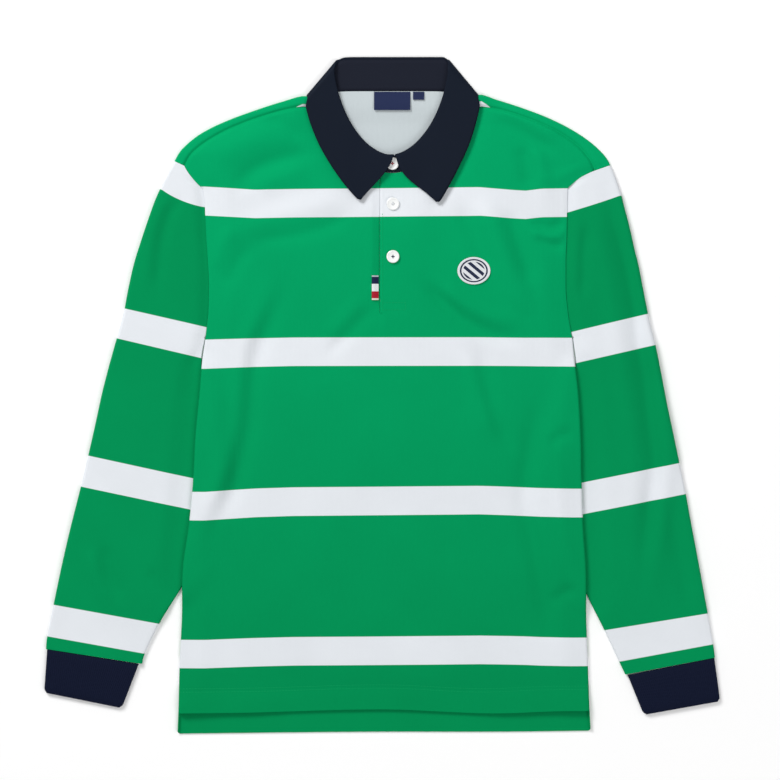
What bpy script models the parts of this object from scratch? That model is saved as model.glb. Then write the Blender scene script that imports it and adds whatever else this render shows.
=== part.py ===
"""Long-sleeved striped polo shirt, buttoned and laid flat on its back.

The frame has +Z up, the collar towards +Y and the hems towards -Y. The table top is z = 0.
Left and right are the wearer's, so the right sleeve is on the -X side.
The body, the sleeves, the cuffs and the collar are tubes of cloth pressed flat. Each piece that is
cut and sewn is its own closed wall, and neighbours stand SEAM apart. Lengths are in millimetres.
"""

import math

import bmesh
import bpy
import numpy as np
from mathutils import Matrix
from mathutils.bvhtree import BVHTree

MM = 0.001

# Cloth
CLOTH = 1.2            # double-knit jersey
LEAF_CLOTH = 1.4       # two layers of collar cloth
CUFF_CLOTH = 1.6
UNDER_CLOTH = 1.1      # lower placket strip
LABEL_CLOTH = 0.6
PATCH_CLOTH = 0.8
SEAM = 0.3             # clearance between neighbours
REST = 0.5             # clearance of a trim over the faceted cloth that it lies on

# Heights of the pressed tubes, from their underside to their top
FLAT_HEIGHT = 2.9      # middle of the body
EDGE_HEIGHT = 4.6      # body, beside its side folds and shoulders
EDGE_REACH = 60.0
SLEEVE_HEIGHT = 4.6
TUCKED_HEIGHT = 2.9    # sleeve, where the body lies on it
CUFF_HEIGHT = 4.8
SLEEVE_LIFT = 3.9      # body, where it lies on a sleeve
LEAF_LIFT = 2.0        # body, where it lies on the back of the collar
LIFT_REACH = 24.0
FOLD_PLAN = 2.3        # radius of a shoulder fold in plan
SIDE_FOLD_COLUMNS = (
    # inward, share of the drop to the middle of the fold
    (0.0, 1.0),
    (0.4, 0.45),
    (1.5, 0.0),
)
ROUND_START = 93.2     # y where the side folds start to round out, going down
UNDERARM_RAMP = 58.0   # length along which they round out
SIDE_GAP = 0.6         # half the opening between the panels at the middle of a side fold

# Neck: a superellipse round the throat, for the seam and for the collar's roll
NECK_POWER = 1.8
SEAM_NECK = {"x": 11.3, "y": 338.4, "half": 81.4, "depth": 87.0}
ROLL_NECK = {"x": 10.2, "y": 376.9, "half": 64.4, "depth": 105.1}
SIDE_NECK = 79.7       # half width where the shoulder seam meets the neck seam
BACK_NECK_Y = 343.5
BACK_NECK_DROP = 6.0
NECK_TOP = 6.0         # front of the shirt at the side of the neck
THROAT_TOP = 4.2       # and at the buttoned front
NECK_REACH = 60.0
NECK_ANGLES = (20.0, 35.0, 50.0, 65.0)

# Placket: a slot in the front, with an under and an upper strip in it
SLOT_RIGHT, SLOT_LEFT, SLOT_END = -2.7, 28.8, 93.2
PLACKET_STEP = 1.3     # the upper strip over the cloth on its open side
STEP_REACH = 45.0
PLACKET_SHARES = (0.0, 0.1, 0.22, 0.34, 0.46, 0.58, 0.7, 0.82, 0.92, 1.0)

# Where the armhole seam crosses each row of the body: right side, then left side
ARMHOLE = (
    # right x, right y, left x, left y
    (-223.2, 259.3, 237.0, 264.6),
    (-213.6, 248.0, 219.2, 254.2),
    (-207.4, 233.9, 209.4, 233.9),
    (-200.2, 213.0, 208.7, 213.0),
    (-199.5, 201.1, 208.6, 201.1),
    (-198.3, 175.7, 208.2, 175.7),
    (-196.6, 150.9, 207.2, 150.9),
    (-195.4, 124.9, 207.2, 124.9),
    (-196.2, 93.2, 209.7, 93.2),
    (-198.3, 74.0, 213.1, 74.0),
    (-199.4, 64.4, 215.0, 64.4),
)
UNDERARM_ROW = len(ARMHOLE) - 1

# Side folds of the body, from the underarm to the tail
SIDE_FOLD = (
    # y, right x, left x
    (64.4, -199.4, 215.0),
    (42.4, -202.6, 217.0),
    (6.2, -205.7, 221.3),
    (-50.3, -211.0, 224.5),
    (-92.1, -213.0, 225.2),
    (-139.6, -217.2, 226.6),
    (-197.2, -225.1, 230.3),
    (-246.9, -225.9, 230.5),
    (-305.7, -228.7, 232.6),
    (-358.8, -230.0, 234.5),
    (-382.0, -231.0, 235.8),
)

# Rows of the body below the armhole, down to the lowest stripe. Stripe edges are among them
BODY_ROWS = (46.0, 32.8, 10.0, -20.0, -50.0, -78.0, -104.0, -135.6,
             -160.0, -190.0, -222.0, -248.0, -272.3, -304.0)
STRIPES = ((233.9, 201.1), (64.4, 32.8), (-104.0, -135.6), (-272.3, -304.0))
FRONT_HEM_SHARES = (0.4, 0.8, 1.0)
TAIL_SHARES = (0.25, 0.5, 0.8, 1.0)
BACK_NECK_SHARES = (0.0, 0.16, 0.43, 1.0)      # rows of the back, from the neck seam to the first full row
FRONT_HEM = ((-230.0, -359.0), (-150.0, -358.3), (9.0, -354.5),
             (122.0, -358.8), (177.0, -356.4), (235.0, -355.8))
TAIL = ((-231.0, -382.3), (9.0, -379.7), (122.0, -379.7), (236.0, -378.2))

# Shoulder folds, from the armhole to the side of the neck, and how far in front of them the seam lies
SHOULDER = {
    "right": (
        # x, y, seam
        (-234.5, 264.6, 12.4),
        (-228.3, 276.3, 12.2),
        (-211.3, 292.1, 11.6),
        (-194.4, 302.3, 10.4),
        (-177.4, 310.0, 9.4),
        (-143.5, 322.6, 9.2),
        (-109.6, 332.8, 9.8),
        (-88.1, 336.9, 10.4),
        (-68.4, 335.0, 10.5),
    ),
    "left": (
        (250.9, 269.5, 14.6),
        (249.6, 273.2, 14.4),
        (245.8, 277.4, 13.8),
        (229.4, 291.0, 12.0),
        (212.4, 301.1, 10.4),
        (195.5, 309.8, 9.4),
        (161.6, 323.7, 9.2),
        (127.7, 334.0, 9.8),
        (110.7, 336.8, 10.4),
        (91.0, 334.6, 10.5),
    ),
}
SHOULDER_SHARES = (0.17, 0.35, 0.53, 0.71, 0.87, 1.0)

# Sleeves: the outer fold and the inner line of each row, from the shoulder to the cuff.
# Rows down to the underarm end on the armhole seam, and the rest on the inner fold
SLEEVE_ROWS = {
    "right": (
        # outer x, outer y, inner x, inner y
        (-234.5, 264.6, -223.2, 259.3),
        (-240.7, 253.7, -213.6, 248.0),
        (-245.8, 244.1, -207.4, 233.9),
        (-250.9, 232.7, -200.2, 213.0),
        (-256.5, 219.8, -199.5, 201.1),
        (-265.0, 196.1, -198.3, 175.7),
        (-272.9, 172.3, -196.6, 150.9),
        (-280.2, 148.6, -195.4, 124.9),
        (-286.8, 119.2, -196.2, 93.2),
        (-290.8, 97.6, -198.3, 74.0),
        (-293.5, 86.9, -199.4, 64.4),
        (-299.6, 64.6, -203.6, 42.1),
        (-308.0, 34.5, -200.0, 9.6),
        (-316.4, 1.7, -193.2, -26.6),
        (-323.7, -32.2, -188.1, -61.6),
        (-331.9, -68.3, -187.6, -99.7),
        (-340.0, -102.6, -190.4, -134.2),
        (-347.4, -131.6, -197.7, -162.2),
        (-354.4, -159.9, -209.0, -188.1),
        (-361.6, -191.5, -226.4, -216.7),
        (-371.0, -236.4, -251.8, -258.0),
        (-378.0, -271.5, -267.8, -291.2),
        (-379.6, -286.1, -270.9, -303.0),
    ),
    "left": (
        (250.9, 269.5, 237.0, 264.6),
        (257.8, 259.4, 219.2, 254.2),
        (264.4, 243.5, 209.4, 233.9),
        (270.4, 225.4, 208.7, 213.0),
        (273.5, 213.0, 208.6, 201.1),
        (279.7, 189.3, 208.2, 175.7),
        (285.0, 165.5, 207.2, 150.9),
        (290.0, 145.2, 207.2, 124.9),
        (296.4, 112.0, 209.7, 93.2),
        (300.4, 92.0, 213.1, 74.0),
        (303.1, 79.1, 215.0, 64.4),
        (308.7, 57.1, 218.8, 36.5),
        (314.7, 27.7, 213.6, 4.0),
        (320.9, -5.1, 207.9, -33.3),
        (328.0, -39.0, 204.5, -68.4),
        (335.9, -76.7, 204.0, -103.4),
        (343.0, -111.0, 206.8, -137.9),
        (349.4, -146.3, 213.6, -172.3),
        (355.4, -178.0, 222.6, -202.8),
        (361.6, -211.9, 232.2, -227.1),
        (367.9, -246.2, 251.3, -265.3),
        (373.9, -280.5, 267.7, -300.1),
        (376.0, -295.9, 274.7, -315.0),
    ),
}
SLEEVE_STRIPES = {
    # first and last row of each white band
    "right": ((0, 3), (9, 11), (15, 16), (20, 21)),
    "left": ((1, 3), (9, 11), (15, 16), (20, 21)),
}
SLEEVE_SHARES = (0.2, 0.42, 0.62, 0.82)        # columns between the folds
CUFF_ENDS = {
    # wrist seam: outer x, outer y, inner x, inner y; then the cuff's edge, the same
    "right": ((-378.2, -286.5, -274.8, -303.3), (-381.6, -335.3, -293.9, -353.0)),
    "left": ((375.3, -296.4, 277.5, -315.9), (381.9, -345.2, 295.7, -360.6)),
}

# Sleeve cloth that the body lies on, as a loop of x, y points
TUCKED = {
    "right": ((-210, 29), (-201, 27), (-196, 1), (-190, -39), (-185, -84), (-187, -129), (-197, -165),
              (-210, -194), (-225, -219), (-234, -223), (-232, -186), (-224, -118), (-219, -50), (-215, -5)),
    "left": ((226, 29), (216, 27), (211, 1), (205, -39), (201, -84), (203, -129), (212, -172),
             (223, -206), (233, -229), (239, -232), (239, -186), (235, -118), (233, -50), (229, -5)),
}
# The fallen collar below the back, as a loop of x, y points
LEAF_UNDER = ((-88, 340), (-54, 378), (-46, 383), (78, 383), (112, 341),
              (106, 332), (94, 328), (-70, 328), (-82, 332))

# The largest soft folds, as ridges
BODY_FOLDS = (
    # x, y, angle, length, width, height
    (-149.0, 252.0, 30.0, 120.0, 13.0, 1.6),
    (-178.0, 172.0, 35.0, 80.0, 12.0, 1.2),
    (-104.0, 172.0, 20.0, 90.0, 12.0, 1.0),
    (142.0, 168.0, -65.0, 130.0, 14.0, 1.6),
    (101.0, 84.0, -40.0, 110.0, 13.0, 1.1),
    (-59.0, 60.0, 48.0, 110.0, 13.0, 1.0),
    (-126.0, -10.0, 79.0, 220.0, 15.0, 1.4),
    (-180.0, -150.0, 74.0, 140.0, 14.0, 1.0),
    (165.0, -118.0, 90.0, 260.0, 14.0, 1.2),
    (128.0, -2.0, -78.0, 140.0, 13.0, 0.9),
)
SLEEVE_FOLDS = (
    (300.0, 0.0, -80.0, 200.0, 13.0, 1.2),
    (310.0, -180.0, 88.0, 160.0, 14.0, 1.2),
    (-270.0, 90.0, 72.0, 120.0, 14.0, 0.9),
    (-300.0, -160.0, -66.0, 120.0, 14.0, 1.0),
)

# Collar: how the band and the leaf turn from the back of the neck, under the shirt, to its front.
# turn is -90 at the back, 0 on the side fold and 90 at the front
COLLAR_HALF = 4.1      # half the height of the whole collar at its side folds
BAND_HALF = 2.1
SIDE_SPREAD = 0.6      # how far the band's upper edge keeps outward in front of the side fold
SPREAD_REACH = 30.0
ROLL_RADIUS = 1.8
ROLL_TURN = 2.3        # distance of the roll's centre from the side fold's axis
STRIP = 4.5            # width of the leaf inside the roll, down to the band
LEAF_OVER = 2.1        # top of the leaf over the cloth that it lies on
BUTTON_HUMP = 2.5      # extra height of the leaf over the collar button
COLLAR_BACK = {
    # roll x, roll y, edge x, edge y, from the middle outward
    "right": ((-12.0, 382.3, -16.0, 329.4), (-32.0, 382.3, -44.0, 329.6), (-43.0, 381.7, -66.0, 331.0)),
    "left": ((40.0, 382.3, 46.0, 329.4), (58.0, 382.3, 74.0, 329.6), (69.0, 382.3, 95.0, 331.0)),
}
COLLAR_SIDE = {
    # turn, roll x, roll y, seam x, seam y, edge x, edge y
    "right": (
        (-55.0, -47.4, 378.6, -65.0, 340.6, -82.0, 336.4),
        (0.0, -48.6, 376.4, -67.0, 336.6, -82.2, 336.3),
        (55.0, -50.8, 372.4, -66.9, 332.0, -82.6, 334.8),
    ),
    "left": (
        (-55.0, 72.6, 378.6, 87.6, 340.6, 105.2, 337.0),
        (0.0, 72.8, 376.6, 89.6, 336.6, 105.8, 336.8),
        (55.0, 73.4, 372.4, 89.5, 332.0, 106.6, 335.0),
    ),
}
COLLAR_FRONT = {
    # angle round the neck, edge x, edge y, bow of the line from roll to edge, strip width
    "right": (
        (8.0, -86.0, 327.0, 0.0, STRIP),
        (20.0, -82.5, 312.0, 0.0, STRIP),
        (35.0, -72.5, 286.0, 0.0, STRIP),
        (50.0, -58.5, 261.0, 0.0, STRIP),
        (65.0, -43.0, 239.0, 0.0, STRIP),
        (78.2, -31.2, 225.2, 2.0, 3.4),
        (84.0, -28.2, 222.2, 3.8, 2.4),
        (90.0, -24.0, 220.6, 5.6, 0.3),
    ),
    "left": (
        (8.0, 110.3, 327.0, 0.0, STRIP),
        (20.0, 107.5, 313.0, 0.0, STRIP),
        (35.0, 99.5, 286.0, 0.0, STRIP),
        (50.0, 88.0, 260.0, 0.0, STRIP),
        (65.0, 75.0, 235.0, 0.0, STRIP),
        (75.5, 67.2, 221.8, -2.0, 3.4),
        (80.5, 64.4, 218.6, -3.8, 2.4),
        (84.5, 60.8, 218.4, -5.4, 0.3),
    ),
}
LEAF_SHARES = (0.0, 0.14, 0.32, 0.55, 0.78, 1.0)
ROLL_STEPS = (180.0, 135.0, 90.0, 45.0)        # degrees round the roll, from the strip to the fall
BAND_TAB = {"right": (91.0, 97.0), "left": (91.0, 99.0)}   # angles of the band's buttoned ends
TAB_DROP = {"right": 1.6, "left": 0.0}                     # the right end lies under the left one
TAB_START = -20.0      # x where the right end starts to go under
TAB_RUN = 14.0

# Buttons
BUTTON_RADIUS = 7.25
BUTTON_HEIGHT = 2.2
BUTTON_HOLE = 0.9
BUTTON_HOLE_OFFSET = 1.5
BUTTON_PROFILE = (
    # radius, height: the turned side of a button, from the foot's centre to the dish's centre
    (0.0, 0.0),
    (5.4, 0.0),
    (7.25, 0.9),
    (7.25, 1.6),
    (6.5, 2.2),
    (5.3, 2.1),
    (4.2, 1.6),
    (0.0, 1.5),
)
BUTTONS = (
    # name, x, y
    ("button_1", 11.8, 261.9),
    ("button_2", 12.3, 216.3),
    ("button_3", 12.3, 156.7),
)

# Trims: low x, low y, high x, high y
FLAG_TAB = (-11.5, 107.8, -3.1, 135.5)
NECK_LABEL = (-9.0, 322.2, 31.9, 342.9)
SIZE_TAB = (35.0, 333.9, 47.7, 342.9)
LABEL_RISE = 1.2
BADGE = {"x": 103.6, "y": 140.8, "half_x": 18.6, "half_y": 15.5}

COLOURS = {
    # linear RGB
    "green_jersey": (0.003, 0.31, 0.11),
    "white_jersey": (0.77, 0.82, 0.85),
    "navy_twill": (0.011, 0.015, 0.025),
    "navy_rib": (0.010, 0.013, 0.027),
    "navy_label": (0.012, 0.020, 0.065),
    "white_button": (0.80, 0.81, 0.80),
    "woven_tape": (0.60, 0.62, 0.65),
    "embroidered_patch": (0.62, 0.64, 0.66),
}
ROUGHNESS = {"white_button": 0.35}


def smoothstep(value):
    t = min(max(value, 0.0), 1.0)
    return t * t * (3.0 - 2.0 * t)


def fade(distance, reach):
    """1 at no distance, easing to 0 at the reach."""
    return 1.0 - smoothstep(distance / reach)


def smooth_curve(places, values):
    """A cubic through the values, as a function of the place, straight past its ends."""
    xs, ys = np.array(places, float), np.array(values, float)
    if xs[0] > xs[-1]:
        xs, ys = xs[::-1], ys[::-1]
    slopes = np.gradient(ys, xs)

    def at(x):
        past = x - min(max(x, xs[0]), xs[-1])
        if past:
            return float(ys[0] + slopes[0] * past if past < 0.0 else ys[-1] + slopes[-1] * past)
        k = min(int(np.searchsorted(xs, x, side="right")) - 1, len(xs) - 2)
        width = xs[k + 1] - xs[k]
        t = (x - xs[k]) / width
        rise = t * t * (3.0 - 2.0 * t)
        start, end = t * (1.0 - t) ** 2, t * t * (t - 1.0)
        return float(ys[k] + (ys[k + 1] - ys[k]) * rise + width * (slopes[k] * start + slopes[k + 1] * end))

    return at


def column(table, k):
    return [row[k] for row in table]


def loop_distance(loop):
    """Distance from a point to the area inside a loop, 0 within it."""
    start = np.array(loop, float)
    span = np.roll(start, -1, axis=0) - start

    def at(x, y):
        to = np.array((x, y)) - start
        share = np.clip((to * span).sum(1) / (span * span).sum(1), 0.0, 1.0)
        gap = np.hypot(*(to - share[:, None] * span).T).min()
        ahead = np.roll(start, -1, axis=0)
        crosses = (start[:, 1] > y) != (ahead[:, 1] > y)
        reach = start[:, 0] + (y - start[:, 1]) / np.where(crosses, span[:, 1], 1.0) * span[:, 0]
        return 0.0 if np.count_nonzero(crosses & (x < reach)) % 2 else float(gap)

    return at


fold_x = {
    "right": smooth_curve(column(SIDE_FOLD, 0), column(SIDE_FOLD, 1)),
    "left": smooth_curve(column(SIDE_FOLD, 0), column(SIDE_FOLD, 2)),
}
armhole_x = {
    "right": smooth_curve(column(ARMHOLE, 1), column(ARMHOLE, 0)),
    "left": smooth_curve(column(ARMHOLE, 3), column(ARMHOLE, 2)),
}
shoulder_y = {side: smooth_curve(column(t, 0), column(t, 1)) for side, t in SHOULDER.items()}
shoulder_seam = {side: smooth_curve(column(t, 0), column(t, 2)) for side, t in SHOULDER.items()}
front_hem_y = smooth_curve(column(FRONT_HEM, 0), column(FRONT_HEM, 1))
tail_y = smooth_curve(column(TAIL, 0), column(TAIL, 1))
tucked_distance = {side: loop_distance(loop) for side, loop in TUCKED.items()}
leaf_distance = loop_distance(LEAF_UNDER)
OUTWARD = {"right": -1.0, "left": 1.0}
UNDERARM_Y = ARMHOLE[UNDERARM_ROW][1]
SLOT_EDGE = {"right": SLOT_RIGHT, "left": SLOT_LEFT}


def edge_x(side, y):
    """The body's side at a height on the page: the side fold, or the armhole seam above it."""
    return fold_x[side](y) if y <= UNDERARM_Y else armhole_x[side](y)


def near_tucked(x, y):
    return max(fade(distance(x, y), LIFT_REACH) for distance in tucked_distance.values())


def body_under(x, y):
    """Height of the shirt's underside: 0 on the table, more where it lies on a sleeve or the collar."""
    return SLEEVE_LIFT * near_tucked(x, y) + LEAF_LIFT * fade(leaf_distance(x, y), LIFT_REACH)


def ridge(folds, x, y):
    total = 0.0
    for fold_x0, fold_y0, angle, length, width, height in folds:
        c, s = math.cos(math.radians(angle)), math.sin(math.radians(angle))
        along = (x - fold_x0) * c + (y - fold_y0) * s
        across = (y - fold_y0) * c - (x - fold_x0) * s
        end = math.cos(min(abs(along) / length, 0.5) * math.pi) ** 2
        total += height * end * math.exp(-((across / width) ** 2))
    return total


def edge_distance(x, y):
    sides = min(x - edge_x("right", y), edge_x("left", y) - x)
    if y < BODY_ROWS[0]:
        return sides
    side = "right" if x < SEAM_NECK["x"] else "left"
    return min(sides, shoulder_y[side](x) - y)


def neck_near(x, y):
    """1 on and inside the neck seam, easing to 0 at NECK_REACH outside it."""
    across = abs(x - SEAM_NECK["x"]) / SEAM_NECK["half"]
    down = max(0.0, SEAM_NECK["y"] - y) / SEAM_NECK["depth"]
    size = (across ** NECK_POWER + down ** NECK_POWER) ** (1.0 / NECK_POWER)
    return fade((size - 1.0) * SEAM_NECK["half"], NECK_REACH)


def neck_top(x):
    return THROAT_TOP + (NECK_TOP - THROAT_TOP) * smoothstep((abs(x - SEAM_NECK["x"]) - 12.0) / 42.0)


def body_top(x, y):
    """Height of the front's upper face, with no placket."""
    edge = (EDGE_HEIGHT - FLAT_HEIGHT) * fade(edge_distance(x, y), EDGE_REACH)
    plain = body_under(x, y) + FLAT_HEIGHT + edge + ridge(BODY_FOLDS, x, y)
    near = neck_near(x, y)
    return plain + (neck_top(x) - plain) * near


def front_top(x, y):
    """Height of the front's upper face: it steps up on the placket's left."""
    step = 0.0
    if x > SLOT_LEFT - 1.0:
        step = PLACKET_STEP * fade(x - SLOT_LEFT, STEP_REACH) * fade(SLOT_END - y, STEP_REACH)
    return body_top(x, y) + step * (1.0 - neck_near(x, y))


def placket_top_height(x, y):
    return body_top(x, y) + PLACKET_STEP * (1.0 - neck_near(x, y))


def sleeve_top(x, y):
    tuck = near_tucked(x, y)
    return SLEEVE_HEIGHT + (TUCKED_HEIGHT - SLEEVE_HEIGHT) * tuck + ridge(SLEEVE_FOLDS, x, y) * (1.0 - tuck)


def neck_point(neck, angle, side, inset=0.0):
    """A point of a neck's superellipse: angle 0 is its side and 90 the middle of the front."""
    a = math.radians(angle)
    across = math.copysign(abs(math.cos(a)) ** (2.0 / NECK_POWER), math.cos(a))
    down = abs(math.sin(a)) ** (2.0 / NECK_POWER)
    x = neck["x"] + OUTWARD[side] * (neck["half"] - inset) * across
    return x, neck["y"] - (neck["depth"] - inset) * down


def neck_seam_y(x):
    across = min(abs(x - SEAM_NECK["x"]) / SEAM_NECK["half"], 1.0)
    return SEAM_NECK["y"] - SEAM_NECK["depth"] * (1.0 - across ** NECK_POWER) ** (1.0 / NECK_POWER)


def back_neck_y(x):
    return BACK_NECK_Y - BACK_NECK_DROP * (abs(x - SEAM_NECK["x"]) / SIDE_NECK) ** 8


def shoulder_point(side, x, inward):
    """A point of the shoulder fold at x, moved inward along the fold's normal."""
    step = 0.5
    slope = (shoulder_y[side](x + step) - shoulder_y[side](x - step)) / (2.0 * step)
    length = math.hypot(1.0, slope)
    return x + inward * slope / length, shoulder_y[side](x) - inward / length


class Columns:
    """The body's columns from one side to the other, each with where it starts on top."""

    def __init__(self):
        right = self.half("right")
        left = self.half("left")
        middle = 0.5 * (SLOT_RIGHT + SLOT_LEFT)
        self.all = right + [("slot", None, middle, None)] + left[::-1]
        self.slot = (len(right) - 1, len(right) + 1)

    def half(self, side):
        """Each column is its kind, its side, its x on the first full row and the shoulder's x."""
        out = OUTWARD[side]
        edge = edge_x(side, ARMHOLE[2][1])
        neck = SEAM_NECK["x"] + out * SIDE_NECK
        start = SHOULDER[side][0][0]
        found = []
        for inward, _ in SIDE_FOLD_COLUMNS:
            found.append(("edge", side, edge - out * inward, start - out * inward))
        for share in SHOULDER_SHARES:
            first = found[2][2] + (neck - found[2][2]) * share
            found.append(("shoulder", side, first, found[2][3] + (neck - found[2][3]) * share))
        for angle in NECK_ANGLES:
            found.append(("neck", side, neck_point(SEAM_NECK, angle, side)[0], None))
        found.append(("neck", side, SLOT_EDGE[side], None))
        return found

    def x_at(self, k, y):
        kind, side, first, _ = self.all[k]
        if kind == "slot":
            return first
        slot, edge, edge_first = SLOT_EDGE[side], edge_x(side, y), edge_x(side, ARMHOLE[2][1])
        return slot + (first - slot) * (edge - slot) / (edge_first - slot)

    def shoulder(self, k):
        return self.all[k][0] in ("edge", "shoulder")


def piece(name, material, thickness=None):
    """A named object, with its cloth's thickness laid inward as a modifier."""
    mesh = bpy.data.meshes.new(name)
    made = bpy.data.objects.new(name, mesh)
    bpy.context.scene.collection.objects.link(made)
    for one in [material] if isinstance(material, str) else material:
        mesh.materials.append(bpy.data.materials[one])
    if thickness:
        wall = made.modifiers.new("cloth", "SOLIDIFY")
        wall.thickness = thickness * MM
        wall.offset = -1.0
        wall.use_even_offset = True
        wall.use_rim = True
    return made


def lay_grid(bm, columns, rows, place, keep=None, white=None):
    """Adds a grid of columns by rows points, each put at place(column, row) in millimetres."""
    grid = bmesh.ops.create_grid(bm, x_segments=columns - 1, y_segments=rows - 1, size=0.5)["verts"]
    where = {}
    for vert in grid:
        i = round((vert.co.x + 0.5) * (columns - 1))
        j = round((vert.co.y + 0.5) * (rows - 1))
        where[vert] = (i, j)
        vert.co = [c * MM for c in place(i, j)]
    dropped = []
    for face in {face for vert in grid for face in vert.link_faces}:
        i = min(where[vert][0] for vert in face.verts)
        j = min(where[vert][1] for vert in face.verts)
        if keep and not keep(i, j):
            dropped.append(face)
        elif white and white(i, j):
            face.material_index = 1
    bmesh.ops.delete(bm, geom=dropped, context="FACES")
    loose = [vert for vert in bm.verts if not vert.link_faces]
    bmesh.ops.delete(bm, geom=loose, context="VERTS")


def finish(bm, made):
    """Joins the grids' shared edges, turns the faces outward and gives the mesh to its object."""
    bmesh.ops.remove_doubles(bm, verts=bm.verts, dist=0.00001)
    bmesh.ops.recalc_face_normals(bm, faces=bm.faces)
    highest = max(bm.faces, key=lambda face: face.calc_center_median().z)
    if highest.normal.z < 0.0:
        bmesh.ops.reverse_faces(bm, faces=bm.faces)
    bm.to_mesh(made.data)
    bm.free()
    made.data.shade_smooth()
    made.data.set_sharp_from_angle(angle=math.radians(40.0))


def in_stripe(y):
    return any(top > y > bottom for top, bottom in STRIPES)


def body_rows(hem_shares, hem_y):
    """The y of each full row, from the first below the shoulders to the hem, for one column's x."""
    rows = column(ARMHOLE, 1)[2:] + list(BODY_ROWS)

    def at(j, x):
        if j < len(rows):
            return rows[j]
        share = hem_shares[j - len(rows)]
        return rows[-1] + (hem_y(x) - rows[-1]) * share

    return at, len(rows) + len(hem_shares)


def upper_points(columns, k, first_y):
    """The plan points of a column above its first full row: on the seam, and halfway down."""
    kind, side, first, shoulder = columns.all[k]
    lower = np.array((columns.x_at(k, first_y), first_y))
    if columns.shoulder(k):
        seam = np.array(shoulder_point(side, shoulder, shoulder_seam[side](shoulder)))
        edge = 0 if side == "right" else 2
        seam_end, half_end, full_end = (np.array(ARMHOLE[row][edge:edge + 2]) for row in range(3))
        start = np.array(shoulder_point(side, SHOULDER[side][0][0], SHOULDER[side][0][2]))
        share = abs(shoulder - SHOULDER[side][0][0]) / abs(SHOULDER[side][0][0] - SHOULDER[side][-1][0])
        pull = (1.0 - share) ** 6
        seam = seam + (seam_end - start) * pull
        half = 0.5 * (seam + lower) + (half_end - 0.5 * (seam_end + full_end)) * (1.0 - share) ** 3
        return seam, half, lower
    x = first
    seam = np.array((x, neck_seam_y(x)))
    return seam, 0.5 * (seam + lower), lower


def drop_at_edge(columns, k, y):
    """How far a column drops to the middle of the side fold, as a share: 0 above the underarm."""
    k = min(k, len(columns.all) - 1 - k)
    share = SIDE_FOLD_COLUMNS[k][1] if k < len(SIDE_FOLD_COLUMNS) else 0.0
    return share * smoothstep((ROUND_START - y) / UNDERARM_RAMP)


def make_front(columns):
    rows, count = body_rows(FRONT_HEM_SHARES, front_hem_y)
    first_y = ARMHOLE[2][1]
    upper = [upper_points(columns, k, first_y) for k in range(len(columns.all))]

    def plan(i, j):
        if j >= 2:
            x = columns.x_at(i, rows(j - 2, columns.all[i][2]))
            return x, rows(j - 2, columns.all[i][2])
        seam, half, _ = upper[i]
        if j == 1:
            return tuple(half)
        if columns.shoulder(i):
            toward = (half - seam) / np.hypot(*(half - seam))
            return tuple(seam + toward * SEAM)
        return tuple(seam)

    def place(i, j):
        x, y = plan(i, j)
        top = front_top(x, y)
        half = 0.5 * (top - body_under(x, y)) - SIDE_GAP
        return x, y, top - half * drop_at_edge(columns, i, y)

    slot = columns.slot
    slot_rows = range(0, 2 + column(ARMHOLE, 1)[2:].index(SLOT_END))

    def keep(i, j):
        return not (slot[0] <= i < slot[1] and j in slot_rows)

    def white(i, j):
        middle = len(columns.all) // 2
        return j >= 2 and in_stripe(0.5 * (plan(middle, j)[1] + plan(middle, j + 1)[1]))

    made = piece("front", ["green_jersey", "white_jersey"], CLOTH)
    bm = bmesh.new()
    lay_grid(bm, len(columns.all), count + 2, place, keep, white)
    finish(bm, made)
    return made


def make_back(columns):
    rows, count = body_rows(TAIL_SHARES, tail_y)
    first_y = ARMHOLE[2][1]
    upper = [upper_points(columns, k, first_y) for k in range(len(columns.all))]
    turns = (0.0, 45.0, 90.0, 135.0, 180.0)

    def place(i, j):
        """Row 0 is the shoulder seam on top, rows 1 to 5 go round the fold and row 6 is below the seam."""
        kind, side, first, shoulder = columns.all[i]
        if j >= 8:
            y = rows(j - 8, columns.all[i][2])
            x = columns.x_at(i, y)
        elif columns.shoulder(i):
            if 1 <= j <= 5:
                turn = math.radians(turns[j - 1])
                x, y = shoulder_point(side, shoulder, FOLD_PLAN * (1.0 - math.sin(turn)))
                inner_x, inner_y = shoulder_point(side, shoulder, FOLD_PLAN)
                top, under = body_top(inner_x, inner_y), body_under(inner_x, inner_y)
                return x, y, under + 0.5 * (top - under) * (1.0 + math.cos(turn))
            x, y = upper[i][0] if j in (0, 6) else upper[i][1]
            if j == 0:
                return x, y, body_top(x, y)
        else:
            share = BACK_NECK_SHARES[max(j - 5, 0)]
            x = columns.all[i][2]
            y = back_neck_y(x) + (first_y - back_neck_y(x)) * share
        under = body_under(x, y)
        half = 0.5 * (front_top(x, y) - under) - SIDE_GAP
        return x, y, under + half * drop_at_edge(columns, i, y)

    def keep(i, j):
        return j >= 5 or (columns.shoulder(i) and columns.shoulder(i + 1))

    def white(i, j):
        middle = len(columns.all) // 2
        return j >= 8 and in_stripe(0.5 * (place(middle, j)[1] + place(middle, j + 1)[1]))

    made = piece("back", ["green_jersey", "white_jersey"], CLOTH)
    bm = bmesh.new()
    lay_grid(bm, len(columns.all), count + 8, place, keep, white)
    finish(bm, made)
    return made


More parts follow.
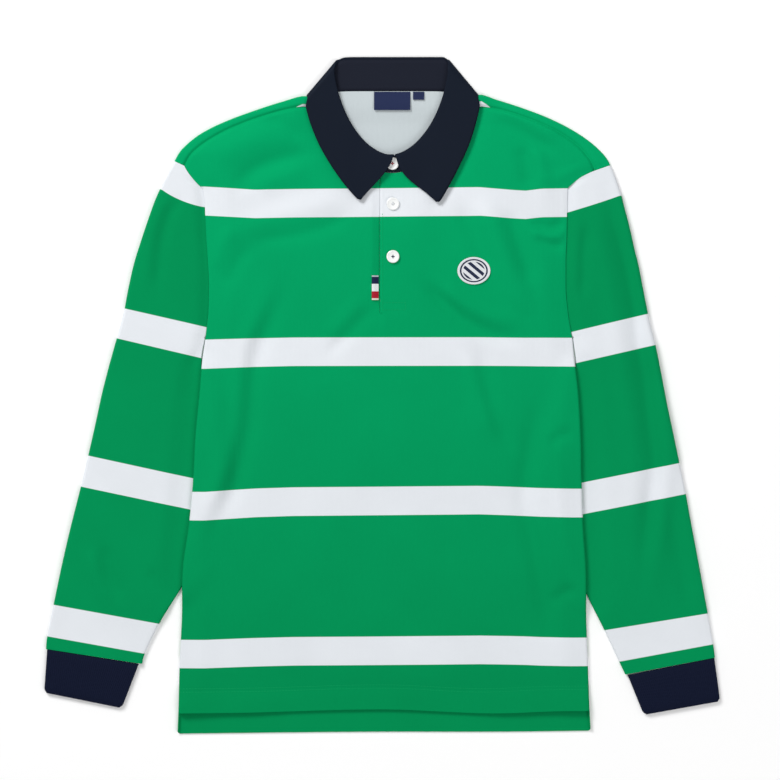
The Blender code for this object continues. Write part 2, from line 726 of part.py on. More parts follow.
def tube_section(outer, inner, shares, top_at, open_side):
    """The upper and lower points across a flat tube, from the outer fold inward, as (x, y, z).

    With open_side the rows end on the inner line, and else they leave room for the inner fold."""
    outer, inner = np.array(outer), np.array(inner)
    across = unit(inner - outer)
    outer_radius, inner_radius = 0.5 * top_at(*outer), 0.5 * top_at(*inner)
    start = outer + across * outer_radius
    end = inner if open_side else inner - across * inner_radius
    upper = [start + (end - start) * share for share in (0.0, *shares, 1.0)]
    tops = [top_at(x, y) for x, y in upper]

    def fold(middle, away, radius, top):
        """Points round a fold from its top to its underside, without the two ends."""
        turned = []
        for degrees in (45.0, 90.0, 135.0):
            a = math.radians(degrees)
            x, y = middle + away * radius * math.sin(a)
            turned.append((x, y, 0.5 * top * (1.0 + math.cos(a))))
        return turned

    top_row = [(x, y, z) for (x, y), z in zip(upper, tops)]
    low_row = [(x, y, 0.0) for x, y in upper]
    outer_fold = fold(start, -across, outer_radius, tops[0])
    inner_fold = fold(end, across, inner_radius, tops[-1])
    return top_row, low_row, outer_fold, inner_fold


def make_sleeve(side):
    table = SLEEVE_ROWS[side]
    out = OUTWARD[side]
    sections = []
    for row, (outer_x, outer_y, inner_x, inner_y) in enumerate(table):
        gap = armhole_gap(side, row)
        inner = np.array((inner_x, inner_y)) + gap
        outer = np.array((outer_x, outer_y)) + (gap if row == 0 else 0.0)
        sections.append(tube_section(outer, inner, SLEEVE_SHARES, sleeve_top, row < UNDERARM_ROW))
    rings = [low[::-1] + fold[::-1] + top for top, low, fold, _ in sections]
    inner_rings = [[top[-1], *fold, low[-1]] for top, low, _, fold in sections[UNDERARM_ROW:]]

    def white(i, j):
        return any(first <= j < last for first, last in SLEEVE_STRIPES[side])

    def white_inner(i, j):
        return white(i, j + UNDERARM_ROW)

    made = piece("sleeve_" + side, ["green_jersey", "white_jersey"], CLOTH)
    bm = bmesh.new()
    lay_grid(bm, len(rings[0]), len(rings), lambda i, j: rings[j][i], None, white)
    lay_grid(bm, len(inner_rings[0]), len(inner_rings), lambda i, j: inner_rings[j][i], None, white_inner)
    finish(bm, made)
    return made


def armhole_gap(side, row):
    """The seam clearance that moves a sleeve row's inner end off the body, square to the armhole."""
    if row > UNDERARM_ROW:
        return np.zeros(2)
    edge = 0 if side == "right" else 2
    points = [np.array(one[edge:edge + 2]) for one in ARMHOLE]
    before, after = points[max(row - 1, 0)], points[min(row + 1, UNDERARM_ROW)]
    along = (after - before) / np.hypot(*(after - before))
    return OUTWARD[side] * 1.5 * SEAM * np.array((-along[1], along[0]))


def make_cuff(side):
    wrist, edge = (np.array(end) for end in CUFF_ENDS[side])
    sections = []
    for share in (0.0, 0.5, 0.92, 1.0):
        line = wrist + (edge - wrist) * share
        inset = 3.0 if share == 1.0 else 0.0
        across = (line[2:] - line[:2]) / np.hypot(*(line[2:] - line[:2]))
        ends = line[:2] + across * inset, line[2:] - across * inset
        sections.append(tube_section(*ends, (0.33, 0.67), lambda x, y: CUFF_HEIGHT, False))
    rings = [low[::-1] + outer[::-1] + top + inner + low[-1:] for top, low, outer, inner in sections]
    made = piece("cuff_" + side, "navy_rib", CUFF_CLOTH)
    bm = bmesh.new()
    lay_grid(bm, len(rings[0]), len(rings), lambda i, j: rings[j][i])
    finish(bm, made)
    return made


def hump(x, y):
    """The collar leaf's rise over the top button."""
    _, button_x, button_y = BUTTONS[0]
    return BUTTON_HUMP * fade(math.hypot(x - button_x, y - button_y) - 10.0, 36.0)


def leaf_top(x, y):
    return body_top(x, y) + LEAF_OVER + hump(x, y)


def unit(vector):
    return vector / np.hypot(*vector)


def band_seam(angle, side):
    """The band's lower edge, just inside the neck seam and the shoulders' ends."""
    x, y = neck_point(SEAM_NECK, angle, side, 2.0 * SEAM)
    across = x - SEAM_NECK["x"]
    reach = SIDE_NECK - 2.0 * SEAM
    return SEAM_NECK["x"] + min(max(across, -reach), reach), y


def collar_stations():
    """Every line across the collar, from its right front end round the back to its left front end."""
    halves = {}
    for side in ("right", "left"):
        found = []
        for roll_x, roll_y, edge_px, edge_py in COLLAR_BACK[side]:
            seam_x = 1.15 * roll_x
            seam = (seam_x, back_neck_y(seam_x) + 3.0 * SEAM)
            found.append((-90.0, (roll_x, roll_y), seam, (edge_px, edge_py), 0.0, STRIP))
        for turn, roll_x, roll_y, seam_x, seam_y, edge_px, edge_py in COLLAR_SIDE[side]:
            found.append((turn, (roll_x, roll_y), (seam_x, seam_y), (edge_px, edge_py), 0.0, STRIP))
        for angle, edge_px, edge_py, bow, strip in COLLAR_FRONT[side]:
            roll = neck_point(ROLL_NECK, angle, side)
            found.append((90.0, roll, band_seam(angle, side), (edge_px, edge_py), bow, strip))
        halves[side] = [(side, *one) for one in found]
    return halves["right"][::-1] + halves["left"]


def loft(name, material, rings):
    """A closed body through rings of points, with its two ends closed."""
    bm = bmesh.new()
    lay_grid(bm, len(rings[0]) + 1, len(rings), lambda i, j: rings[j][i % len(rings[0])])
    bmesh.ops.remove_doubles(bm, verts=bm.verts, dist=0.00001)
    ends = [edge for edge in bm.edges if len(edge.link_faces) == 1]
    bmesh.ops.holes_fill(bm, edges=ends, sides=0)
    made = piece(name, material)
    finish(bm, made)
    return made


def make_leaf(stations):
    """Each ring: the strip, the roll and the fall on the outer face, then back along the inner face."""
    rings = []
    for side, turn, roll, seam, edge, bow, strip in stations:
        roll, seam, edge = np.array(roll), np.array(seam), np.array(edge)
        to_seam, to_edge = unit(seam - roll), unit(edge - roll)
        away = -unit(to_seam + to_edge)
        sideways = np.array((-to_edge[1], to_edge[0])) * OUTWARD[side]
        flat, rise = math.cos(math.radians(turn)), math.sin(math.radians(turn))
        front = turn == 90.0
        outward = np.array((*(sideways * flat), rise))
        roll_top = leaf_top(*roll) if front else COLLAR_HALF * (1.0 + rise)
        centre_z = roll_top - ROLL_RADIUS if front else COLLAR_HALF + ROLL_TURN * rise
        centre = np.array((*(roll - away * ROLL_RADIUS + sideways * ROLL_TURN * flat), centre_z))
        down = np.array((*to_seam, 0.0))
        square = np.array((-to_edge[1], to_edge[0]))

        def round_roll(radius):
            points = [centre - outward * radius + down * strip]
            for degrees in ROLL_STEPS:
                b = math.radians(degrees)
                around = np.array((*away, 0.0)) * math.sin(b) + outward * math.cos(b)
                points.append(centre + around * radius)
            return points

        def fall(depth):
            start = centre[:2] + sideways * (ROLL_RADIUS - depth) * flat
            end = edge + sideways * (COLLAR_HALF - depth) * flat
            points = []
            for share in LEAF_SHARES:
                x, y = start + (end - start) * share + square * bow * 4.0 * share * (1.0 - share)
                z = leaf_top(x, y) if front else roll_top
                points.append(np.array((x, y, z - depth * rise)))
            return points

        inner = round_roll(ROLL_RADIUS - LEAF_CLOTH) + fall(LEAF_CLOTH)
        rings.append(round_roll(ROLL_RADIUS) + fall(0.0) + inner[::-1])
    return loft("collar_leaf", "navy_twill", rings)


def make_band(stations):
    """Each ring: three points down the band's outer face, then up its inner face."""
    tabs = {}
    for side, angles in BAND_TAB.items():
        strip = COLLAR_FRONT[side][-1][-1]
        tabs[side] = []
        for angle in angles:
            seam = band_seam(angle, side)
            tabs[side].append((side, 90.0, neck_point(ROLL_NECK, angle, side), seam, seam, 0.0, strip))
    rings = []
    for side, turn, roll, seam, _, _, strip in tabs["right"][::-1] + stations + tabs["left"]:
        roll, seam = np.array(roll), np.array(seam)
        down = unit(seam - roll)
        sideways = np.array((-down[1], down[0])) * OUTWARD[side]
        flat, rise = math.cos(math.radians(turn)), math.sin(math.radians(turn))
        outward = np.array((*(sideways * flat), rise))
        spread = SIDE_SPREAD * fade(ROLL_NECK["y"] - roll[1], SPREAD_REACH) if turn == 90.0 else flat
        upper = roll + down * (strip + ROLL_RADIUS + 4.0 * SEAM) + sideways * BAND_HALF * spread
        outer = []
        for share in (0.0, 0.5, 1.0):
            x, y = upper + (seam - upper) * share
            z = COLLAR_HALF + BAND_HALF * rise
            if turn == 90.0:
                z = neck_top(x) - TAB_DROP[side] * smoothstep((x - TAB_START) / TAB_RUN)
            outer.append(np.array((x, y, z)))
        rings.append(outer + [point - outward * CLOTH for point in outer[::-1]])
    return loft("collar_band", "navy_twill", rings)


def surface_height(panel):
    """The height of a panel's modelled face at a point, seen from above."""
    bm = bmesh.new()
    bm.from_mesh(panel.data)
    tree = BVHTree.FromBMesh(bm)
    bm.free()

    def at(x, y, above=True):
        side = 1.0 if above else -1.0
        hit = tree.ray_cast((x * MM, y * MM, side), (0.0, 0.0, -side))[0]
        return hit.z / MM

    return at


def make_placket(name, rise, thickness):
    """A strip that fills the slot of the front, from the neck seam to the slot's end."""
    width = SLOT_LEFT - SLOT_RIGHT - 2.0 * SEAM
    across = [SLOT_RIGHT + SEAM + width * share for share in (0.0, 0.33, 0.67, 1.0)]

    def place(i, j):
        x = across[i]
        top = neck_seam_y(x) - SEAM
        y = top + (SLOT_END + SEAM - top) * PLACKET_SHARES[j]
        return x, y, placket_top_height(x, y) + rise

    made = piece(name, "green_jersey", thickness)
    bm = bmesh.new()
    lay_grid(bm, len(across), len(PLACKET_SHARES), place)
    finish(bm, made)
    return made


def make_button(name, x, y, z):
    """A button turned from its profile, with four holes in a diamond."""
    count = 24
    bm = bmesh.new()
    profile = BUTTON_PROFILE[1:-1]
    rings = []
    for radius, height in profile:
        ring = []
        for k in range(count):
            a = 2.0 * math.pi * k / count
            spot = (x + radius * math.cos(a), y + radius * math.sin(a), z + height)
            ring.append(bm.verts.new([c * MM for c in spot]))
        rings.append(ring)
    for below, above in zip(rings, rings[1:]):
        for k in range(count):
            bm.faces.new((below[k], below[(k + 1) % count], above[(k + 1) % count], above[k]))
    bm.faces.new(rings[0][::-1])
    bm.faces.new(rings[-1])
    made = piece(name, "white_button")
    finish(bm, made)
    holes = bmesh.new()
    for k in range(4):
        a = 0.5 * math.pi * k
        spread_x, spread_y = BUTTON_HOLE_OFFSET * math.cos(a), BUTTON_HOLE_OFFSET * math.sin(a)
        centre = (x + spread_x, y + spread_y, z + 0.5 * BUTTON_HEIGHT)
        place = Matrix.Translation([c * MM for c in centre])
        bmesh.ops.create_cone(holes, cap_ends=True, segments=8, radius1=0.5 * BUTTON_HOLE * MM,
                              radius2=0.5 * BUTTON_HOLE * MM, depth=2.0 * BUTTON_HEIGHT * MM, matrix=place)
    drill = piece(name + "_holes", "white_button")
    drill.hide_render = True
    holes.to_mesh(drill.data)
    holes.free()
    cut = made.modifiers.new("holes", "BOOLEAN")
    cut.operation = "DIFFERENCE"
    cut.solver = "EXACT"
    cut.object = drill
    return made


def make_patch(name, material, thickness, points, counts, height):
    """A flat trim: columns by rows of plan points, each laid on the cloth below it."""
    def place(i, j):
        x, y = points(i / (counts[0] - 1), j / (counts[1] - 1))
        return x, y, height(x, y) + thickness

    made = piece(name, material, thickness)
    bm = bmesh.new()
    lay_grid(bm, *counts, place)
    finish(bm, made)
    return made


def rectangle(low_x, low_y, high_x, high_y):
    return lambda u, v: (low_x + (high_x - low_x) * u, low_y + (high_y - low_y) * v)


def oval(u, v):
    """A square spread over an oval."""
    a, b = 2.0 * u - 1.0, 2.0 * v - 1.0
    x, y = a * math.sqrt(1.0 - 0.5 * b * b), b * math.sqrt(1.0 - 0.5 * a * a)
    return BADGE["x"] + BADGE["half_x"] * x, BADGE["y"] + BADGE["half_y"] * y


def main():
    for one in list(bpy.data.objects):
        bpy.data.objects.remove(one)
    for name, colour in COLOURS.items():
        material = bpy.data.materials.new(name)
        material.use_nodes = True
        shader = material.node_tree.nodes["Principled BSDF"]
        shader.inputs["Base Color"].default_value = (*colour, 1.0)
        shader.inputs["Roughness"].default_value = ROUGHNESS.get(name, 0.85)
        shader.inputs["Metallic"].default_value = 0.0
    columns = Columns()
    front = make_front(columns)
    back = make_back(columns)
    for side in ("right", "left"):
        make_sleeve(side)
        make_cuff(side)
    stations = collar_stations()
    make_leaf(stations)
    make_band(stations)
    make_placket("placket_upper", 0.0, CLOTH)
    make_placket("placket_under", -CLOTH - SEAM, UNDER_CLOTH)
    for name, x, y in BUTTONS:
        base = neck_top(x) if name == "button_1" else placket_top_height(x, y + BUTTON_RADIUS)
        make_button(name, x, y, base + SEAM)
    on_front, in_back = surface_height(front), surface_height(back)

    def over_front(x, y):
        return on_front(x, y) + REST

    def over_back(x, y):
        rise = LABEL_RISE * smoothstep((BACK_NECK_Y - y) / (NECK_LABEL[3] - NECK_LABEL[1]))
        return in_back(x, y, False) + CLOTH + REST + rise

    make_patch("flag_tab", "woven_tape", LABEL_CLOTH, rectangle(*FLAG_TAB), (2, 6), over_front)
    make_patch("badge", "embroidered_patch", PATCH_CLOTH, oval, (7, 7), over_front)
    make_patch("neck_label", "navy_label", LABEL_CLOTH, rectangle(*NECK_LABEL), (5, 4), over_back)
    make_patch("size_tab", "navy_label", LABEL_CLOTH, rectangle(*SIZE_TAB), (3, 3), over_back)


main()
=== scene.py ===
"""A long-sleeved polo shirt of printed double-knit jersey, buttoned and laid flat on its back.

Plan positions are in millimetres in the frame of the CAD part: +Y towards the collar, +Z up from the
table. Right and left are the wearer's, so the right sleeve is on the -X side.
"""

import math

import bmesh
import bpy
import numpy as np
from mathutils import Matrix, Vector


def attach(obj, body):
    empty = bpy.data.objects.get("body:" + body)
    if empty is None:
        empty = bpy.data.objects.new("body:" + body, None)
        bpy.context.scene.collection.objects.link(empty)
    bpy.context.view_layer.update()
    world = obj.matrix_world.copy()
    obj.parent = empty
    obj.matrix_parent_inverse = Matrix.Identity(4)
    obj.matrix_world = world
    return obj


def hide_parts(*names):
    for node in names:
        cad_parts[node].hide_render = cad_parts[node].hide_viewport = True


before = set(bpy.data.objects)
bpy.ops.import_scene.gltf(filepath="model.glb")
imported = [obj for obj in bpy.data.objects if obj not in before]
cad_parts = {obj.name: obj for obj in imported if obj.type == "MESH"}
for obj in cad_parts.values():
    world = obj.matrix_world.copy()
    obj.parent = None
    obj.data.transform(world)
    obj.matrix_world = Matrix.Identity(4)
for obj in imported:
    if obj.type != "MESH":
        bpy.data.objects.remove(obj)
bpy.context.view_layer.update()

MM = 0.001

# Cloth, in mm
JERSEY = 1.2
COLLAR_CLOTH = 1.4
BAND_CLOTH = 1.2
CUFF_CLOTH = 1.6
FACING_CLOTH = 1.1
TAPE_CLOTH = 0.9
LABEL_CLOTH = 0.6
SEAM = 0.3

# Heights of the pressed tubes of cloth, from their underside to their top, and how far some reach
FLAT_HEIGHT = 2.9
EDGE_HEIGHT = 4.6
EDGE_REACH = 60.0
SLEEVE_HEIGHT = 4.6
TUCKED_HEIGHT = 2.9
CUFF_HEIGHT, CUFF_LENGTH, CUFF_SEAM_DIP, CUFF_CORNER = 4.8, 50.0, 0.7, 2.6
CUFF_LIP_START, CUFF_THINNING = 0.9, 0.25      # as shares of its length and of its height
SLEEVE_LIFT = 3.9
LEAF_LIFT = 2.0
LIFT_REACH = 24.0
FOLD_PLAN = 2.3
AIR, AIR_REACH, AIR_HEM_REACH = 3.2, 30.0, 60.0      # air under the front gives its folds room, but not at its edges
LOOSE_REACH, LOOSE_HEM_REACH, SWELL_REACH = 9.0, 40.0, 40.0      # nor do the folds themselves reach the edges
LEAST_HEIGHT = 2.7

# Neck: a superellipse round the throat, for the seam and for the collar's roll
NECK_POWER = 1.8
SEAM_NECK = {"x": 11.3, "y": 338.4, "half": 81.4, "depth": 87.0}
ROLL_NECK = {"x": 10.2, "y": 376.9, "half": 64.4, "depth": 105.1}
SIDE_NECK = 79.7
BACK_NECK_Y = 343.5
BACK_NECK_DROP = 6.0
NECK_TOP = 6.0
THROAT_TOP, THROAT_HALF, THROAT_RAMP = 4.2, 12.0, 42.0
NECK_REACH = 60.0

# Placket
SLOT_RIGHT, SLOT_LEFT, SLOT_END = -2.7, 28.8, 93.2
PLACKET_STEP, PLACKET_ROUND = 1.3, 0.9
STEP_REACH = 45.0
PLACKET_DIP = 2.4       # the right front sinks beside the placket's free edge, in a line this far off it
DIP_OFFSET, DIP_HALF, DIP_FADE = 1.4, 3.4, 16.0
SLOT_SIDE = SLOT_RIGHT + 0.5      # parts the points of the slot's right edge from those of the strips

HEM_Y = -356.0
HEM_CORNER = 2.8        # radius of the hems' corners
SIDE_GAP = 0.05         # between the front and the back, at the side folds
FOLDS_TO_Y = 46.0       # below this the shoulders are too far off to matter to the front

# How far the front sinks under the edges of the collar's wings
WING_DIP, WING_REACH = 1.8, 9.0

# How far the front's hem stands off the tail, in the middle and towards its ends, and how that fades upward
HEM_LIFT, END_LIFT = 1.3, 2.8
HEM_MIDDLE, HEM_RAMP, LIFT_FADE = 90.0, 70.0, 34.0

ARMHOLE = (
    # right x, right y, left x, left y
    (-223.2, 259.3, 240.0, 253.8),
    (-214.6, 246.0, 223.6, 245.6),
    (-202.6, 233.9, 209.4, 233.9),
    (-199.9, 213.0, 208.7, 213.0),
    (-199.5, 201.1, 208.6, 201.1),
    (-198.3, 175.7, 208.2, 175.7),
    (-196.6, 150.9, 207.2, 150.9),
    (-195.4, 124.9, 207.2, 124.9),
    (-196.2, 93.2, 209.7, 93.2),
    (-198.3, 74.0, 213.1, 74.0),
    (-199.4, 64.4, 215.0, 64.4),
)
UNDERARM_ROW = len(ARMHOLE) - 1
UNDERARM_Y = 64.4
ROUND_START, ROUND_RAMP = 93.2, 58.0      # where the side folds start to round out, going down

SIDE_FOLD = (
    # y, right x, left x
    (64.4, -199.4, 215.0),
    (42.4, -202.6, 217.0),
    (6.2, -205.7, 221.3),
    (-50.3, -211.0, 224.5),
    (-92.1, -213.0, 225.2),
    (-139.6, -217.2, 226.6),
    (-197.2, -225.1, 230.3),
    (-246.9, -225.9, 230.5),
    (-305.7, -228.7, 232.6),
    (-358.8, -230.0, 234.5),
    (-382.0, -231.0, 235.8),
)
FRONT_HEM = ((-230.0, -359.0), (-150.0, -358.3), (9.0, -354.5), (122.0, -358.8), (177.0, -356.4), (235.0, -355.8))
TAIL = ((-231.0, -382.3), (9.0, -379.7), (122.0, -379.7), (236.0, -378.2))

# Shoulder folds, from the armhole to the side of the neck, and the seam that lies in front of them
SHOULDER = {
    "right": (
        # fold x, fold y, seam x, seam y
        (-234.5, 264.6, -223.2, 259.3),
        (-228.3, 275.3, -217.9, 269.4),
        (-222.0, 282.0, -213.6, 274.6),
        (-211.3, 291.1, -204.2, 282.7),
        (-194.4, 301.4, -189.5, 292.3),
        (-177.4, 309.2, -173.6, 300.7),
        (-143.5, 321.9, -140.4, 313.7),
        (-109.6, 332.7, -107.4, 323.1),
        (-88.1, 338.2, -87.9, 326.5),
        (-68.4, 335.0, -69.4, 324.6),
    ),
    "left": (
        (257.8, 260.0, 240.0, 253.8),
        (255.6, 264.6, 238.6, 258.4),
        (252.0, 270.0, 236.4, 263.6),
        (245.8, 276.8, 232.4, 269.4),
        (229.4, 290.5, 222.2, 281.0),
        (212.4, 301.2, 207.3, 292.2),
        (195.5, 309.9, 191.2, 301.5),
        (161.6, 323.5, 158.5, 315.1),
        (127.7, 334.5, 125.9, 324.4),
        (110.7, 339.8, 110.5, 326.4),
        (91.0, 334.6, 92.0, 324.1),
    ),
}

# Sleeves: outer fold of each row, and how far along the printed stripes its outer and inner ends are
SLEEVE_ROWS = {
    # outer x, outer y, outer print, inner print
    "right": (
        (-234.5, 264.6, 231.0, 231.0), (-240.7, 253.7, 221.5, 221.5), (-245.8, 244.1, 211.5, 217.0),
        (-250.9, 232.7, 201.1, 201.6), (-256.5, 219.8, 190.0, 192.0), (-265.0, 196.1, 165.0, 171.0),
        (-272.9, 172.3, 141.0, 144.0), (-280.2, 148.6, 116.0, 117.0), (-286.8, 119.2, 86.0, 84.0),
        (-290.8, 97.6, 64.4, 62.0), (-293.5, 86.9, 53.6, 53.0), (-299.6, 64.6, 32.8, 32.8),
        (-308.0, 34.5, 2.5, 1.5), (-316.4, 1.7, -32.0, -34.0), (-323.7, -32.2, -66.0, -68.0),
        (-331.9, -68.3, -104.0, -104.0), (-340.0, -102.6, -135.6, -135.6), (-347.4, -131.6, -165.0, -166.0),
        (-354.4, -159.9, -194.0, -195.0), (-361.6, -191.5, -226.0, -226.0), (-371.0, -236.4, -272.3, -272.3),
        (-378.0, -271.5, -304.0, -304.0), (-379.6, -286.1, -318.0, -317.0),
    ),
    "left": (
        (257.8, 260.0, 233.4, 233.4), (261.4, 251.6, 225.6, 233.4), (264.8, 242.4, 217.0, 233.6),
        (270.4, 225.4, 201.1, 209.0), (273.5, 213.0, 189.0, 196.0), (279.7, 189.3, 164.0, 170.0),
        (285.0, 165.5, 139.0, 144.0), (290.0, 145.2, 117.0, 117.0), (296.4, 112.0, 86.0, 87.0),
        (300.4, 92.0, 64.9, 67.0), (303.1, 79.1, 53.0, 58.5), (308.7, 57.1, 32.8, 32.8),
        (314.7, 27.7, 2.0, 2.0), (320.9, -5.1, -32.0, -34.0), (328.0, -39.0, -66.0, -68.0),
        (335.9, -76.7, -104.0, -104.0), (343.0, -111.0, -135.6, -135.6), (349.4, -146.3, -170.0, -169.0),
        (355.4, -178.0, -202.0, -200.0), (361.6, -211.9, -236.0, -234.0), (367.9, -246.2, -272.3, -272.3),
        (373.9, -280.5, -304.0, -304.0), (376.0, -295.9, -319.0, -317.0),
    ),
}

# Inner line of the sleeves, from the underarm to the cuff. Above it, the armhole is their inner line
SLEEVE_INNER = {
    "right": (
        (-199.4, 64.4), (-203.6, 42.1), (-200.0, 9.6), (-193.2, -26.6), (-188.1, -61.6),
        (-187.6, -99.7), (-190.4, -134.2), (-197.7, -162.2), (-209.0, -188.1), (-226.4, -216.7),
        (-251.8, -258.0), (-267.8, -291.2), (-270.9, -303.0),
    ),
    "left": (
        (215.0, 64.4), (218.8, 36.5), (213.6, 4.0), (207.9, -33.3), (204.5, -68.4),
        (204.0, -103.4), (206.8, -137.9), (213.6, -172.3), (222.6, -202.8), (232.2, -227.1),
        (251.3, -265.3), (267.7, -300.1), (274.7, -315.0),
    ),
}
CUFF_ENDS = {
    "right": ((-378.2, -286.5, -274.8, -303.3), (-381.6, -335.3, -293.9, -353.0)),
    "left": ((375.3, -296.4, 277.5, -315.9), (381.9, -345.2, 295.7, -360.6)),
}
TUCKED = {
    "right": ((-210, 29), (-201, 27), (-196, 1), (-190, -39), (-185, -84), (-187, -129), (-197, -165),
              (-210, -194), (-225, -219), (-234, -223), (-232, -186), (-224, -118), (-219, -50), (-215, -5)),
    "left": ((226, 29), (216, 27), (211, 1), (205, -39), (201, -84), (203, -129), (212, -172),
             (223, -206), (233, -229), (239, -232), (239, -186), (235, -118), (233, -50), (229, -5)),
}
LEAF_UNDER = ((-88, 340), (-54, 378), (-46, 383), (78, 383), (112, 341),
              (106, 332), (94, 328), (-70, 328), (-82, 332))

# Soft folds as smooth lines: ridges are above 0 and valleys below
BODY_FOLDS = (
    # height, half width, line from end to end
    (-1.6, 7, ((-129, 315), (-110, 303), (-84, 291))),
    (1.0, 10, ((-136, 326), (-104, 320), (-77, 311))),
    (-1.8, 10, ((-165, 232), (-154, 246), (-136, 258), (-104, 268), (-72, 277))),
    (1.5, 14, ((-144, 230), (-121, 244), (-86, 257))),
    (1.5, 16, ((-192, 260), (-166, 277), (-127, 291), (-93, 297))),
    (-1.3, 8, ((-147, 167), (-127, 176), (-95, 181), (-59, 192), (-34, 204))),
    (1.3, 12, ((-177, 176), (-136, 196), (-70, 215), (-36, 223))),
    (-1.2, 8, ((-174, 123), (-165, 147), (-149, 168))),
    (1.2, 9, ((-190, 142), (-181, 170), (-165, 193))),
    (-2.1, 10, ((-107, 127), (-124, 88), (-138, 57), (-146, 18), (-150, -33), (-165, -95), (-186, -141),
                (-197, -180), (-219, -211))),
    (1.6, 11, ((-124, 131), (-140, 91), (-154, 57), (-160, 18), (-165, -33), (-181, -90), (-202, -135),
               (-212, -172))),
    (-1.2, 8, ((-6, 101), (-25, 83), (-42, 65), (-64, 45))),
    (0.9, 9, ((-23, 108), (-42, 88), (-61, 67))),
    (-2.5, 8, ((47, 126), (66, 108), (86, 90), (111, 74), (150, 60))),
    (2.0, 9, ((66, 128), (86, 110), (116, 92), (156, 79))),
    (-1.7, 9, ((108, 56), (116, 29), (124, -5), (136, -39), (151, -67))),
    (1.2, 9, ((95, 51), (104, 18), (113, -16), (124, -50))),
    (3.1, 14, ((108, 225), (124, 193), (137, 159), (149, 125), (167, 88))),
    (-1.4, 10, ((90, 215), (106, 176), (122, 136))),
    (-2.0, 10, ((142, 210), (156, 170), (172, 125))),
    (-1.7, 9, ((158, 280), (163, 257), (167, 234))),
    (1.5, 8, ((174, 282), (180, 259), (185, 237))),
    (-2.0, 9, ((120, 314), (156, 298), (197, 275))),
    (1.7, 10, ((124, 325), (162, 311), (203, 289))),
    (-2.0, 6, ((208, 196), (190, 189), (169, 194))),
    (1.7, 6, ((208, 182), (188, 180), (167, 186))),
    (-1.7, 6, ((208, 169), (188, 171), (173, 180))),
    (-2.0, 10, ((175, -11), (167, -56), (160, -118), (172, -175), (184, -237), (188, -276))),
    (1.7, 10, ((191, -5), (184, -62), (179, -118), (189, -175), (201, -231))),
    (-1.5, 6, ((215, -41), (201, -46), (188, -57))),
    (-1.5, 6, ((219, -218), (203, -224), (192, -236))),
)
SLEEVE_FOLDS = (
    (-1.2, 8, ((-224, 225), (-240, 204), (-249, 170), (-254, 119))),
    (1.0, 9, ((-240, 230), (-253, 204), (-262, 170), (-267, 119))),
    (-1.6, 7, ((-314, -169), (-307, -203), (-294, -231))),
    (1.2, 8, ((-328, -172), (-321, -208), (-307, -237))),
    (-1.0, 7, ((-262, -197), (-251, -214), (-240, -222))),
    (-2.1, 8, ((252, 232), (263, 193), (275, 153), (284, 108), (289, 63), (297, 18), (303, -33), (308, -73),
               (303, -118), (297, -175), (292, -220))),
    (2.0, 10, ((269, 232), (280, 193), (292, 151), (301, 108), (306, 63), (314, 18), (320, -33), (323, -73),
               (319, -118), (312, -175), (305, -220))),
    (1.7, 11, ((237, 221), (246, 176), (255, 131), (264, 74), (275, 6), (282, -50), (285, -107), (280, -163))),
    (-1.4, 9, ((323, -118), (332, -163), (341, -208), (348, -242))),
    (-1.7, 7, ((231, 193), (228, 153), (227, 108))),
)

# Where the top stripe of a sleeve bows: the row, its reach in rows, and how far it bows
SLEEVE_BOW = {"right": (3.0, 1.6, 2.6), "left": (3.0, 1.4, 0.0)}

# How far each printed stripe rises from a straight line across the front
STRIPE_RISE = {
    "y": (217.5, 48.6, -119.8, -288.2),
    "x": (-200.0, -143.0, -100.0, 0.0, 110.0, 145.0, 162.0, 180.0, 215.0),
    "rise": (
        # one row for each stripe, one column for each x
        (2.2, -1.4, -0.6, 0.3, 1.5, -1.4, -2.5, -0.3, 0.4),
        (-2.4, -0.4, 0.5, 0.6, 0.6, 0.5, 0.4, 0.2, 0.0),
        (-5.4, -1.6, -0.2, 0.6, 1.7, 0.5, -0.4, -1.0, -1.8),
        (-3.6, -1.6, -0.6, 0.1, 1.1, 0.6, 0.2, -0.6, -1.2),
    ),
}

# Collar
COLLAR_HALF = 4.1
BAND_HALF = 2.1
SIDE_SPREAD = 0.6
SPREAD_REACH = 30.0
FRONT_TURN = 55.0        # past this turn, a line of the collar comes down onto the front
ROLL_RADIUS = 1.8
ROLL_TURN = 2.3
STRIP = 4.5
BACK_STRIP = 0.9
BAND_RISE = 0.3          # the stand's top edge comes up to the roll at the back
LEAF_OVER = 2.9
BUTTON_HUMP, HUMP_FLAT, HUMP_REACH = 2.5, 10.0, 36.0      # the wings rise over the neck button
BACK_SEAM_SPREAD = 1.15
COLLAR_BACK = {
    # roll x, roll y, edge x, edge y, from the middle outward
    "right": ((-12.0, 382.3, -16.0, 329.4), (-32.0, 382.3, -44.0, 329.6), (-43.0, 381.7, -66.0, 331.0)),
    "left": ((40.0, 382.3, 46.0, 329.4), (58.0, 382.3, 74.0, 329.6), (69.0, 382.3, 95.0, 331.0)),
}
COLLAR_SIDE = {
    # turn, roll x, roll y, seam x, seam y, edge x, edge y
    "right": (
        (-55.0, -47.4, 378.6, -65.0, 339.5, -82.0, 336.4),
        (0.0, -48.6, 376.4, -67.0, 336.6, -82.2, 336.3),
        (55.0, -50.8, 372.4, -66.9, 332.0, -82.6, 334.8),
    ),
    "left": (
        (-55.0, 72.6, 378.6, 87.6, 339.5, 105.2, 337.0),
        (0.0, 72.8, 376.6, 89.6, 336.6, 105.8, 336.8),
        (55.0, 73.4, 372.4, 89.5, 332.0, 106.6, 335.0),
    ),
}
